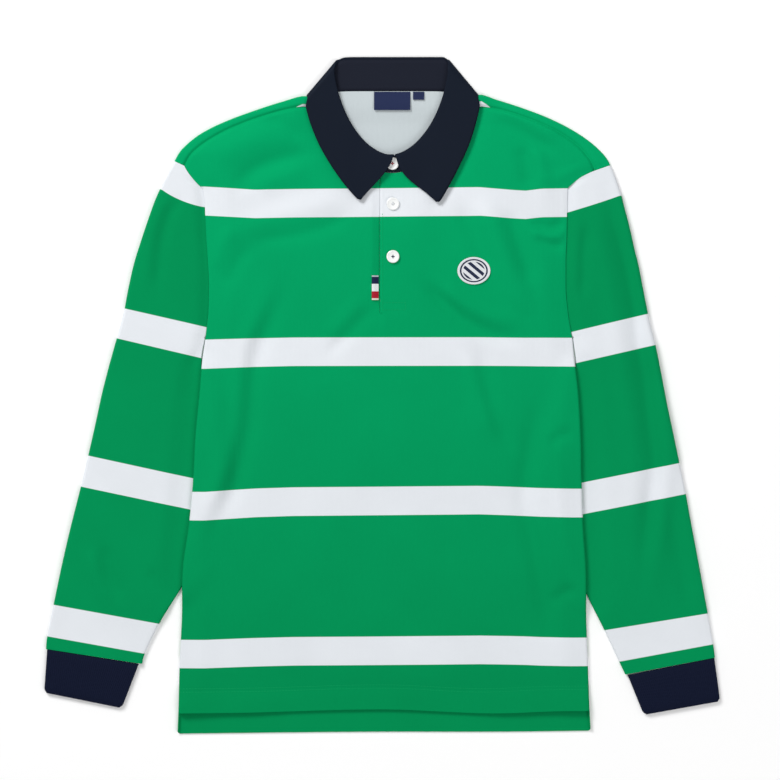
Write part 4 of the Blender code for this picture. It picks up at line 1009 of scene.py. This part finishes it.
def lower_plan(hem_y):
    """Plan points of the full rows, from the top row to a hem, whose corners are a little round."""
    rows = [[(float(column_x(one, y)), y) for one in columns] for y in MIDDLE_ROWS]
    ends = [float(hem_y(one[2])) + lift for one, lift in zip(columns, corner_lift)]
    for share in np.linspace(0.0, 1.0, LOWER_STEPS + 1)[1:]:
        ys = [SLOT_END + (end - SLOT_END) * share for end in ends]
        rows.append([(float(column_x(one, y)), y) for one, y in zip(columns, ys)])
    return rows


def round_out(y):
    """The side folds are seams down the armhole, and round below it."""
    return smoothstep((ROUND_START - y) / ROUND_RAMP)


def make_front():
    """The front panel, with dips along its seams and grooves under the hem's stitches."""
    upper = [[tuple(upper_point(upper_ends(one), t)) for one in columns] for t in UPPER_STEPS[:-1]]
    plan = np.array(upper + lower_plan(front_hem_y))
    x, y = plan[..., 0], plan[..., 1]
    top = front_top(x, y)
    on_shoulder = np.array([one[0] == "shoulder" for one in columns], float)
    dip = SHOULDER_DIP * bell(np.hypot(x - x[0], y - y[0]), DIP_REACH) * on_shoulder
    # The armhole's dip fades out at the underarm and below the shoulder
    dip += ARMHOLE_DIP * seam_closeness * smoothstep((y - 70.0) / 20.0) * smoothstep((252.0 - y) / 24.0)
    for above in HEM_STITCHES:
        dip += HEM_GROOVE * bell(y - front_hem_y(x) - above, 2.0)
    top = top - dip
    half = 0.5 * (top - body_under(x, y)) - SIDE_GAP
    z = top - half * side_drop[None, :] * round_out(y)
    prints = np.stack([x, print_place(x, y)], -1)
    slot_rows = len(UPPER_STEPS) - 1 + len(MIDDLE_ROWS) - 1

    def keep(i, j):
        return not (slot_columns[0] <= i < slot_columns[1] and j < slot_rows)

    bm = bmesh.new()
    lay_grid(bm, np.dstack([plan, z]).tolist(), prints.tolist(), keep)
    made = new_piece("front_panel", bm, [jersey, wrong_side], JERSEY, wrong_side=True)
    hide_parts("front")
    return made


def make_back():
    """The back panel turns over the shoulders to the seams on the front."""
    top_shares = TOP_SHARES[:-1]
    turns = np.radians(np.linspace(0.0, 180.0, FOLD_STEPS + 1))
    low_shares = TOP_SHARES[-2:0:-1]
    first_low = len(top_shares) + len(turns) - 1
    neck_rows = 1 + len(low_shares) + len(UPPER_STEPS) - 1
    count = len(top_shares) + len(turns) + len(low_shares) + len(UPPER_STEPS) - 1
    points, prints = np.zeros((count, len(columns), 3)), np.zeros((count, len(columns), 2))
    for i, one in enumerate(columns):
        kind, side, first, top_x = one
        if kind != "shoulder":
            neck_end = np.array((top_x, float(back_neck_y(top_x))))
            for k in range(neck_rows + 1):
                if first_low + k >= count:
                    break
                x, y = neck_end + (np.array((first, TOP_ROW)) - neck_end) * k / neck_rows
                points[first_low + k, i] = (x, y, float(body_under(x, y)))
                prints[first_low + k, i] = (x, y)
            continue
        ends = upper_ends(one)
        fold = shoulder_point(side, top_x, FOLD_PLAN)
        line = float(shoulder_y[side](top_x))
        ridge_top, ridge_under = float(body_top(*fold)), float(body_under(*fold))
        placed, width = [], np.hypot(*(fold - ends[0]))
        for share in top_shares:
            x, y = ends[0] + (fold - ends[0]) * share
            dip = SHOULDER_DIP * bell(width * share, DIP_REACH)
            placed.append((x, y, float(body_top(x, y)) - dip, line + (1.0 - share) * width + 2.0))
        for turn in turns:
            x, y = shoulder_point(side, top_x, FOLD_PLAN * (1.0 - math.sin(turn)))
            placed.append((x, y, ridge_under + 0.5 * (ridge_top - ridge_under) * (1.0 + math.cos(turn)), line + 1.0))
        for share in low_shares:
            x, y = ends[0] + (fold - ends[0]) * share
            placed.append((x, y, float(body_under(x, y)), y))
        for t in UPPER_STEPS[:-1]:
            x, y = upper_point(ends, t)
            placed.append((x, y, float(body_under(x, y)), y))
        for j, (x, y, z, along) in enumerate(placed):
            points[j, i] = (x, y, z)
            prints[j, i] = (x, along)
    lower = np.array(lower_plan(tail_y))
    x, y = lower[..., 0], lower[..., 1]
    under = body_under(x, y)
    half = 0.5 * (front_top(x, y) - under) - SIDE_GAP
    z = under + half * side_drop[None, :] * round_out(y)
    points = np.concatenate([points, np.dstack([lower, z])])
    prints = np.concatenate([prints, lower])
    prints[..., 1] += BACK_PRINT_SHIFT

    def keep(i, j):
        return j >= first_low or (columns[i][0] == "shoulder" and columns[i + 1][0] == "shoulder")

    bm = bmesh.new()
    lay_grid(bm, points.tolist(), prints.tolist(), keep, lambda i, j: 2 if points[j, i, 1] < FACING_Y else 0)
    made = new_piece("back_panel", bm, [jersey, wrong_side, jersey, jersey], JERSEY, wrong_side=True)
    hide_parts("back")
    return made


front = make_front()
back = make_back()


# Sleeves and cuffs

SLEEVE_SHARES = np.linspace(0.0, 1.0, 27)
SLEEVE_TURNS = np.radians(np.linspace(0.0, 180.0, 9))


def armhole_point(side, row):
    """The body's edge, at a row number of the armhole's table."""
    edge = 0 if side == "right" else 2
    if row < 2.0:
        seam_end, half_end, full_end = (np.array(ARMHOLE[k][edge:edge + 2]) for k in range(3))
        return upper_point((seam_end, half_end, full_end), row / 2.0)
    y = float(curve(range(len(ARMHOLE)), column(ARMHOLE, edge + 1))(row))
    return np.array((float(armhole_x[side](y)), y))


def sleeve_lines(side):
    """Each fine row of a sleeve: its number, outer and inner points, and print places of the two."""
    table, below = SLEEVE_ROWS[side], SLEEVE_INNER[side]
    numbers = range(len(table))
    outer_x, outer_y, print_out, print_in = (curve(numbers, column(table, k), steady=k > 1) for k in range(4))
    low_x, low_y = (curve(numbers[UNDERARM_ROW:], column(below, k)) for k in (0, 1))
    lines = []
    for row in np.concatenate([np.linspace(0, UNDERARM_ROW, 70), np.linspace(UNDERARM_ROW, numbers[-1], 81)[1:]]):
        outer = np.array((float(outer_x(row)), float(outer_y(row))))
        if row <= UNDERARM_ROW:
            after = armhole_point(side, min(row + 0.2, UNDERARM_ROW))
            along = unit(after - armhole_point(side, max(row - 0.2, 0.0)))
            gap = OUTWARD[side] * ARMHOLE_GAP * square_to(along)
            inner = armhole_point(side, row) + gap
            outer = outer + gap * max(0.0, 1.0 - row)
        else:
            inner = np.array((float(low_x(row)), float(low_y(row))))
        lines.append((row, outer, inner, float(print_out(row)), float(print_in(row))))
    return lines


def side_bend(base, outward, radius, height):
    """Points round the side bend of a flat tube, from its top to its underside."""
    return [(*(base + outward * radius * math.sin(a)), 0.5 * height * (1.0 + math.cos(a)))
            for a in SLEEVE_TURNS[1:-1]]


def make_sleeve(side):
    """A flat tube, open to the body above the underarm and closed along its inner line below it."""
    rings, ring_prints, inner_rings, inner_prints = [], [], [], []
    for row, outer, inner, print_out, print_in in sleeve_lines(side):
        across, length = unit(inner - outer), float(np.hypot(*(inner - outer)))
        ends = np.array((outer, inner))
        dip = ARMHOLE_DIP * fade(row - UNDERARM_ROW - 1.0, 2.0) * smoothstep((row - 0.7) / 1.3)
        heights = sleeve_top(ends[:, 0], ends[:, 1]) - (0.0, dip * (1.0 + SLEEVE_SINK))
        outer_radius, inner_radius = 0.5 * np.maximum(heights, TUCKED_HEIGHT)
        closing = smoothstep(2.0 * (row - UNDERARM_ROW + 0.5))
        start, end = outer + across * outer_radius, inner - across * inner_radius * closing
        plan = start + (end - start) * SLEEVE_SHARES[:, None]
        top = sleeve_top(plan[:, 0], plan[:, 1])
        rest = (1.0 - SLEEVE_SHARES) * length
        sinks = dip * (bell(rest, SEAM_REACH) + SLEEVE_SINK * bell(rest, SINK_REACH))
        top = np.maximum(top - sinks, TUCKED_HEIGHT)
        bow_row, bow_reach, bow = SLEEVE_BOW[side]
        bow *= float(fade(abs(row - bow_row), bow_reach))
        place = print_out + (print_in - print_out) * SLEEVE_SHARES + bow * 4.0 * SLEEVE_SHARES * (1.0 - SLEEVE_SHARES)
        tops = [(x, y, z) for (x, y), z in zip(plan, top)]
        lows = [(x, y, 0.0) for x, y in plan]
        outer_fold = side_bend(start, -across, outer_radius, top[0])
        rings.append(lows[::-1] + outer_fold[::-1] + tops)
        u = length * SLEEVE_SHARES
        around = [(-x, p) for x, p in zip(u, place)][::-1] + [(0.0, print_out)] * len(outer_fold)
        ring_prints.append(around + list(zip(u, place)))
        if row >= UNDERARM_ROW:
            inner_fold = side_bend(end, across, inner_radius, top[-1])
            inner_rings.append([tops[-1], *inner_fold, lows[-1]])
            inner_prints.append([(length, print_in)] * (len(inner_fold) + 2))
    bm = bmesh.new()
    lay_grid(bm, rings, ring_prints)
    lay_grid(bm, inner_rings, inner_prints)
    made = new_piece(side + "_sleeve", bm, [sleeve_shade_jersey, wrong_side], JERSEY, wrong_side=True)
    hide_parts("sleeve_" + side)
    return made


def make_cuff(side):
    """A flat tube that dips at its seam and narrows a little round its open end."""
    wrist, edge = (np.array(end) for end in CUFF_ENDS[side])
    rings, prints = [], []
    shares = np.concatenate([np.linspace(0.0, CUFF_LIP_START, 14), [0.94, 0.97, 0.99, 1.0]])
    for share in shares:
        line = wrist + (edge - wrist) * share
        across = unit(line[2:] - line[:2])
        end_near = smoothstep((share - CUFF_LIP_START) / (1.0 - CUFF_LIP_START))
        lip = CUFF_HEIGHT * (1.0 - CUFF_THINNING * end_near) - CUFF_SEAM_DIP * bell(share, 0.04)
        radius, inset = 0.5 * lip, CUFF_CORNER * end_near ** 2
        start, end = line[:2] + across * (radius + inset), line[2:] - across * (radius + inset)
        plan = start + (end - start) * np.linspace(0.0, 1.0, 25)[:, None]
        ring = [(x, y, 0.0) for x, y in plan[::-1]]
        ring += side_bend(start, -across, radius, lip)[::-1]
        ring += [(x, y, lip) for x, y in plan]
        ring += side_bend(end, across, radius, lip)
        rings.append([*ring, ring[0]])
        prints.append([(u, share * CUFF_LENGTH) for u in lengths(rings[0])])
    bm = bmesh.new()
    lay_grid(bm, rings, prints)
    made = new_piece(side + "_cuff", bm, [rib], CUFF_CLOTH)
    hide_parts("cuff_" + side)
    return made


sleeves = {side: make_sleeve(side) for side in OUTWARD}
cuffs = {side: make_cuff(side) for side in OUTWARD}


# Collar

def band_seam(angle, side):
    x, y = neck_point(SEAM_NECK, angle, side, 2.0 * SEAM)
    reach = SIDE_NECK - 2.0 * SEAM
    return SEAM_NECK["x"] + float(np.clip(x - SEAM_NECK["x"], -reach, reach)), y


def collar_stations():
    """Lines across the collar, from its right front end round the back to its left front end."""
    halves = {}
    for side in ("right", "left"):
        found = []
        for roll_x, roll_y, *edge in COLLAR_BACK[side]:
            back_x = BACK_SEAM_SPREAD * roll_x
            back_seam = (back_x, float(back_neck_y(back_x)) + 0.05)
            found.append((-90.0, roll_x, roll_y, *back_seam, *edge, 0.0, BACK_STRIP))
        for k, row in enumerate(COLLAR_SIDE[side]):
            found.append((*row, 0.0, BACK_STRIP + (STRIP - BACK_STRIP) * (k + 1) / 4.0))
        for angle, *edge_bow_strip in COLLAR_FRONT[side]:
            found.append((90.0, *neck_point(ROLL_NECK, angle, side), *band_seam(angle, side), *edge_bow_strip))
        halves[side] = found
    return halves["right"][::-1] + halves["left"], len(halves["right"])


def fine_stations(rows, middle, steps):
    """The same lines, closer together: side, turn, places of roll, seam and edge, bow and strip."""
    places = np.linspace(0, len(rows) - 1, steps * (len(rows) - 1) + 1)
    values = np.stack([curve(range(len(rows)), column(rows, k), steady=True)(places) for k in range(9)], 1)
    return [("right" if place < middle - 0.5 else "left", v[0], v[1:3], v[3:5], v[5:7], v[7], v[8])
            for place, v in zip(places, values)]


def lean(turn, sideways):
    """How a line of the collar stands: its flat and upright parts, outward direction and share on the front."""
    flat, rise = math.cos(math.radians(turn)), math.sin(math.radians(turn))
    front_share = float(smoothstep((turn - FRONT_TURN) / (90.0 - FRONT_TURN)))
    return flat, rise, np.array((*(sideways * flat), rise)), front_share


def collar_leaf(stations):
    """The leaf: a closed body through rings that run from the seam up over the roll and down to the edge."""
    rings, prints = [], []
    roll_turns = np.radians(np.linspace(180.0, 15.0, 12))
    shares = np.linspace(0.0, 1.0, 20)
    gone = lengths([station[2] for station in stations])
    for place, (side, turn, roll, seam, edge, bow, strip) in zip(gone, stations):
        to_seam, to_edge = unit(seam - roll), unit(edge - roll)
        away, square = -unit(to_seam + to_edge), square_to(to_edge)
        sideways = square * OUTWARD[side]
        flat, rise, outward, front_share = lean(turn, sideways)
        turned_top = COLLAR_HALF * (1.0 + rise)
        roll_top = turned_top + (float(leaf_top(*roll)) - turned_top) * front_share
        turned_centre = COLLAR_HALF + ROLL_TURN * rise
        centre_z = turned_centre + (roll_top - ROLL_RADIUS - turned_centre) * front_share
        centre = np.array((*(roll - away * ROLL_RADIUS + sideways * ROLL_TURN * flat), centre_z))
        down, lift = np.array((*to_seam, 0.0)), np.array((*away, 0.0))
        bows = bow * 6.75 * shares * (1.0 - shares) ** 2      # reaches bow a third of the way down

        def round_roll(radius):
            points = [centre - outward * radius + down * strip * s for s in (1.0, 0.5)]
            return points + [centre + (lift * math.sin(b) + outward * math.cos(b)) * radius for b in roll_turns]

        def fall(depth):
            start = centre[:2] + sideways * (ROLL_RADIUS - depth) * flat
            end = edge + sideways * (COLLAR_HALF - depth) * flat
            plan = start + (end - start) * shares[:, None] + square * bows[:, None]
            z = roll_top + (leaf_top(plan[:, 0], plan[:, 1]) - roll_top) * front_share
            return [np.array((x, y, h)) for (x, y), h in zip(plan, z - depth * rise)]

        outer = round_roll(ROLL_RADIUS) + fall(0.0)
        rings.append(outer + (round_roll(ROLL_RADIUS - COLLAR_CLOTH) + fall(COLLAR_CLOTH))[::-1])
        row = [(place, width) for width in lengths(outer)]
        prints.append(row + row[::-1])
    made = loft("turned_collar", [[tuple(p) for p in ring] for ring in rings], prints, [twill])
    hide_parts("collar_leaf")
    return made


def collar_band(stations):
    """The stand under the leaf, with its two ends lapped at the neck button."""
    tabs = {}
    for side, angles in BAND_TAB.items():
        tabs[side] = [(side, 90.0, np.array(neck_point(ROLL_NECK, a, side)), np.array(band_seam(a, side)),
                       None, 0.0, TAB_STRIP) for a in angles]
    stations = tabs["right"][::-1] + stations + tabs["left"]
    rings, prints = [], []
    shares = np.linspace(0.0, 1.0, 9)
    gone = lengths([station[3] for station in stations])
    for place, (side, turn, roll, seam, _, _, strip) in zip(gone, stations):
        down = unit(seam - roll)
        sideways = square_to(down) * OUTWARD[side]
        flat, rise, outward, front_share = lean(turn, sideways)
        ahead = SIDE_SPREAD * float(fade(ROLL_NECK["y"] - roll[1], SPREAD_REACH))
        spread = flat + (ahead - flat) * front_share
        upper = roll + down * (strip + ROLL_RADIUS) + sideways * BAND_HALF * spread
        outer = []
        for share in shares:
            x, y = upper + (seam - upper) * share
            turned = COLLAR_HALF + BAND_HALF * rise + BAND_RISE * max(0.0, -rise) * float(fade(share, 0.35))
            front_z = float(neck_top(x)) - TAB_DROP[side] * float(smoothstep((x - TAB_START) / TAB_RUN))
            outer.append(np.array((x, y, turned + (front_z - turned) * front_share)))
        rings.append(outer + [point - outward * BAND_CLOTH for point in outer[::-1]])
        row = [(place, width) for width in np.hypot(*(seam - upper)) * shares]
        prints.append(row + row[::-1])
    made = loft("collar_stand", [[tuple(p) for p in ring] for ring in rings], prints, [stand_twill])
    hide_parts("collar_band")
    return made


station_rows, station_middle = collar_stations()
stations = fine_stations(station_rows, station_middle, 9)
leaf = collar_leaf(stations)
band = collar_band(stations)


# Placket, trims and buttons

def make_patch(name, points, prints, materials, wall, node):
    """A thin piece laid on the others, from a grid of points on its upper face."""
    bm = bmesh.new()
    lay_grid(bm, points, prints)
    made = new_piece(name, bm, materials, wall, wrong_side=len(materials) > 1)
    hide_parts(node)
    return made


def make_placket(name, node, drop, wall):
    """A strip in the front's slot. The upper strip's free edge, on the right, is turned under and rounds off."""
    low_x, high_x = SLOT_RIGHT + SEAM, SLOT_LEFT
    xs = low_x + (high_x - low_x) * np.concatenate([[0.0, 0.012, 0.03, 0.06], np.linspace(0.12, 1.0, 14)])
    points, prints = [], []
    for share in np.linspace(0.0, 1.0, 48):
        top = neck_seam_y(xs) - SEAM
        y = top + (SLOT_END - top) * share
        rounding = bell(xs - low_x, PLACKET_ROUND) if drop == 0.0 else 0.0
        z = placket_top(xs, y) - drop - rounding
        points.append([(a, b, c) for a, b, c in zip(xs, y, z)])
        prints.append([(a, b) for a, b in zip(xs, print_place(xs, y))])
    return make_patch(name, points, prints, [jersey, wrong_side], wall, node)


def rectangle(name, node, box, height, material, wall, steps=(9, 9)):
    low_x, low_y, high_x, high_y = box
    points, prints = [], []
    for v in np.linspace(0.0, 1.0, steps[1]):
        row = [(low_x + (high_x - low_x) * u, low_y + (high_y - low_y) * v) for u in np.linspace(0.0, 1.0, steps[0])]
        points.append([(x, y, float(height(x, y)) + wall) for x, y in row])
        prints.append([(x - low_x, y - low_y) for x, y in row])
    return make_patch(name, points, prints, [material], wall, node)


def over_front(x, y):
    return front_top(x, y) + SEAM


def over_back(x, y):
    rise = LABEL_RISE * smoothstep((BACK_NECK_Y - y) / (NECK_LABEL[3] - NECK_LABEL[1]))
    return body_under(x, y) + JERSEY + SEAM + rise


placket = make_placket("placket", "placket_upper", 0.0, JERSEY)
under_placket = make_placket("placket_facing", "placket_under", JERSEY + SEAM, FACING_CLOTH)
flag = rectangle("flag_tape", "flag_tab", FLAG_TAB, over_front, tape, TAPE_CLOTH, (5, 15))
neck_label = rectangle("satin_neck_label", "neck_label", NECK_LABEL, over_back, label_satin, LABEL_CLOTH)
size_tab = rectangle("satin_size_tab", "size_tab", SIZE_TAB, over_back, label_satin, LABEL_CLOTH,
                     (5, 5))


def patch_twill():
    """Embroidered patch: polyester satin stitch, a navy ring and slanted navy bars on white."""
    material, tree, shader = new_material("embroidered_polyester_patch", "#e4e6ea", 0.62, gloss=0.2)
    uv, across, along = print_coordinates(tree)
    size = add_node(tree, "ShaderNodeVectorMath", {0: uv}, operation="LENGTH").outputs["Value"]
    ring = maths(tree, "COMPARE", size, 0.8, 0.05)
    slanted = maths(tree, "MULTIPLY_ADD", across, 1.0, along)
    bar = maths(tree, "GREATER_THAN", maths(tree, "PINGPONG", slanted, 0.3), 0.15)
    drawn = maths(tree, "MULTIPLY", bar, maths(tree, "LESS_THAN", size, 0.66))
    colour = blend(tree, maths(tree, "MAXIMUM", drawn, ring), "#e4e6ea", "#242b46")
    tree.links.new(colour, shader.inputs["Base Color"])
    emboss(tree, shader, maths(tree, "SINE", maths(tree, "MULTIPLY", slanted, 150.0)), 0.5, 0.15)
    return material


def make_badge():
    """An oval patch with a raised rim. Its UV map is the oval's radius, from -1 to 1."""
    points, prints = [], []
    shares = np.linspace(-1.0, 1.0, 25)
    for v in shares:
        row = [(u * math.sqrt(1.0 - 0.5 * v * v), v * math.sqrt(1.0 - 0.5 * u * u)) for u in shares]
        prints.append([(a / MM, b / MM) for a, b in row])
        points.append([])
        for a, b in row:
            x, y = BADGE["x"] + BADGE["half_x"] * a, BADGE["y"] + BADGE["half_y"] * b
            rim = BADGE_RIM * bell(math.hypot(a, b) - RIM_RADIUS, RIM_WIDTH)
            points[-1].append((x, y, float(over_front(x, y)) + BADGE_CLOTH + rim))
    return make_patch("embroidered_badge", points, prints, [patch_twill()], BADGE_CLOTH, "badge")


badge = make_badge()


def make_button(name, node, x, y, z, spool):
    """A turned resin button with four drilled holes, sewn on with crossed thread."""
    bm = bmesh.new()
    profile = [bm.verts.new((r * MM, 0.0, h * MM)) for r, h in BUTTON_PROFILE]
    edges = [bm.edges.new(pair) for pair in zip(profile, profile[1:])]
    bmesh.ops.spin(bm, geom=profile + edges, cent=(0.0, 0.0, 0.0), axis=(0.0, 0.0, 1.0), angle=2.0 * math.pi,
                   steps=48, use_merge=True)
    bmesh.ops.translate(bm, verts=bm.verts, vec=(x * MM, y * MM, z * MM))
    made = new_piece(name, bm, [resin])
    drill_mesh = bpy.data.meshes.new(name + "_drill")
    drill = bpy.data.objects.new(name + "_drill", drill_mesh)
    bpy.context.scene.collection.objects.link(drill)
    holes = bmesh.new()
    for a in np.arange(4) * 0.5 * math.pi:
        spot = ((x + HOLE_SPREAD * math.cos(a)) * MM, (y + HOLE_SPREAD * math.sin(a)) * MM, (z + 1.0) * MM)
        bmesh.ops.create_cone(holes, cap_ends=True, segments=16, radius1=HOLE_RADIUS * MM, radius2=HOLE_RADIUS * MM,
                              depth=5.0 * MM, matrix=Matrix.Translation(spot))
    holes.to_mesh(drill_mesh)
    holes.free()
    cut = made.modifiers.new("holes", "BOOLEAN")
    cut.operation, cut.solver, cut.object = "DIFFERENCE", "EXACT", drill
    drilled = bpy.data.meshes.new_from_object(made.evaluated_get(bpy.context.evaluated_depsgraph_get()))
    made.modifiers.remove(cut)
    made.data = drilled
    bpy.data.objects.remove(drill)
    drilled.shade_smooth()
    drilled.set_sharp_from_angle(angle=math.radians(35.0))
    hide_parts(node)
    sewn = bmesh.new()
    for turned in (0.0, 0.5 * math.pi):
        for offset in (-THREAD_APART, THREAD_APART):
            place = (Matrix.Translation((x * MM, y * MM, (z + THREAD_HEIGHT) * MM)) @ Matrix.Rotation(turned, 4, "Z")
                     @ Matrix.Translation((0.0, offset * MM, 0.0)) @ Matrix.Rotation(0.5 * math.pi, 4, "Y"))
            bmesh.ops.create_cone(sewn, cap_ends=True, segments=8, radius1=THREAD_RADIUS * MM,
                                  radius2=THREAD_RADIUS * MM, depth=2.0 * (HOLE_SPREAD + 0.3) * MM, matrix=place)
    stitches = new_piece(name + "_thread", sewn, [spool])
    return made


for (name, node, x, y), spool in zip(BUTTONS, (red_thread, white_thread, navy_thread)):
    base = float(neck_top(x)) if name == "neck_button" else float(placket_top(x, y))
    make_button(name, node, x, y, base + SEAM, spool)


def stitch_row(name, line, height, spool, step=3.4, long=2.3):
    """A row of lockstitches along a line on the cloth."""
    points = np.array(line, float)
    gone = lengths(points)
    places = np.arange(0.5 * step, gone[-1], step)
    xs, ys = np.interp(places, gone, points[:, 0]), np.interp(places, gone, points[:, 1])
    ahead_x, ahead_y = np.interp(places + 0.5, gone, points[:, 0]), np.interp(places + 0.5, gone, points[:, 1])
    zs = height(xs, ys)
    bm = bmesh.new()
    for x, y, z, ax, ay in zip(xs, ys, zs, ahead_x, ahead_y):
        heading = math.atan2(ay - y, ax - x)
        place = (Matrix.Translation((x * MM, y * MM, (z + 0.05) * MM)) @ Matrix.Rotation(heading, 4, "Z")
                 @ Matrix.Diagonal((long / 2 * MM, 0.28 * MM, 0.22 * MM, 1.0)))
        bmesh.ops.create_uvsphere(bm, u_segments=6, v_segments=4, radius=1.0,
                                  matrix=place @ Matrix.Rotation(0.5 * math.pi, 4, "Y"))
    made = new_piece(name, bm, [spool])
    return made


def on_hem(x, y):
    return front_top(x, y) - HEM_GROOVE


hem_xs = np.linspace(-229.0, 233.0, 60)
for k, above in enumerate(HEM_STITCHES):
    stitch_row(f"hem_stitches_{k + 1}", np.stack([hem_xs, front_hem_y(hem_xs) + above], 1), on_hem, green_thread)
# The stitched box at the placket's lower end, and the line of stitches above it
BOX_RIGHT, BOX_LEFT, BOX_LOW, BOX_TOP = 0.4, 26.4, 96.6, 104.8
box_xs, box_ys = (BOX_RIGHT, BOX_LEFT, BOX_LEFT, BOX_RIGHT, BOX_RIGHT), (BOX_TOP, BOX_TOP, BOX_LOW, BOX_LOW, BOX_TOP)
box_line = list(zip(box_xs, box_ys))
edge_line = [(BOX_RIGHT, 206.0), (BOX_RIGHT, BOX_TOP + 0.2)]
stitch_row("placket_edge_stitches", edge_line, placket_top, green_thread)
stitch_row("placket_box_stitches", box_line, placket_top, green_thread)


# Table, light and camera

floor_mesh = bmesh.new()
bmesh.ops.create_grid(floor_mesh, x_segments=1, y_segments=1, size=4.0)
smooth_object("table_top", floor_mesh, [plain_floor()])


def area_light(name, place, aim, size, power):
    light = bpy.data.lights.new(name, "AREA")
    light.shape, light.size, light.energy = "DISK", size, power
    lamp = bpy.data.objects.new(name, light)
    lamp.location = place
    lamp.rotation_euler = (Vector(aim) - Vector(place)).to_track_quat("-Z", "Y").to_euler()
    bpy.context.scene.collection.objects.link(lamp)


area_light("key_softbox", (-2.0, 2.65, 2.3), (0.0, 0.1, 0.0), 1.6, 120.0)
area_light("fill_softbox", (1.9, -1.9, 2.6), (0.1, -0.2, 0.0), 2.0, 36.0)
area_light("top_softbox", (0.0, 0.0, 3.2), (0.0, 0.0, 0.0), 2.4, 10.0)
world = bpy.data.worlds.new("white_studio")
world.use_nodes = True
world.node_tree.nodes["Background"].inputs["Color"].default_value = linear("#ffffff")
world.node_tree.nodes["Background"].inputs["Strength"].default_value = 0.38
bpy.context.scene.world = world

PHOTO_PIXELS, PIXEL = 780, 1.13
LENS, SENSOR = 180.0, 36.0
CAMERA_X, CAMERA_Y = 9.0, 6.2
camera = bpy.data.cameras.new("overhead_camera")
camera.lens, camera.sensor_width = LENS, SENSOR
camera.clip_end = 50.0
rig = bpy.data.objects.new("overhead_camera", camera)
rig.location = (CAMERA_X * MM, CAMERA_Y * MM, PHOTO_PIXELS * PIXEL * MM * LENS / SENSOR)
bpy.context.scene.collection.objects.link(rig)
bpy.context.scene.camera = rig
bpy.context.scene.view_settings.view_transform = "Standard"
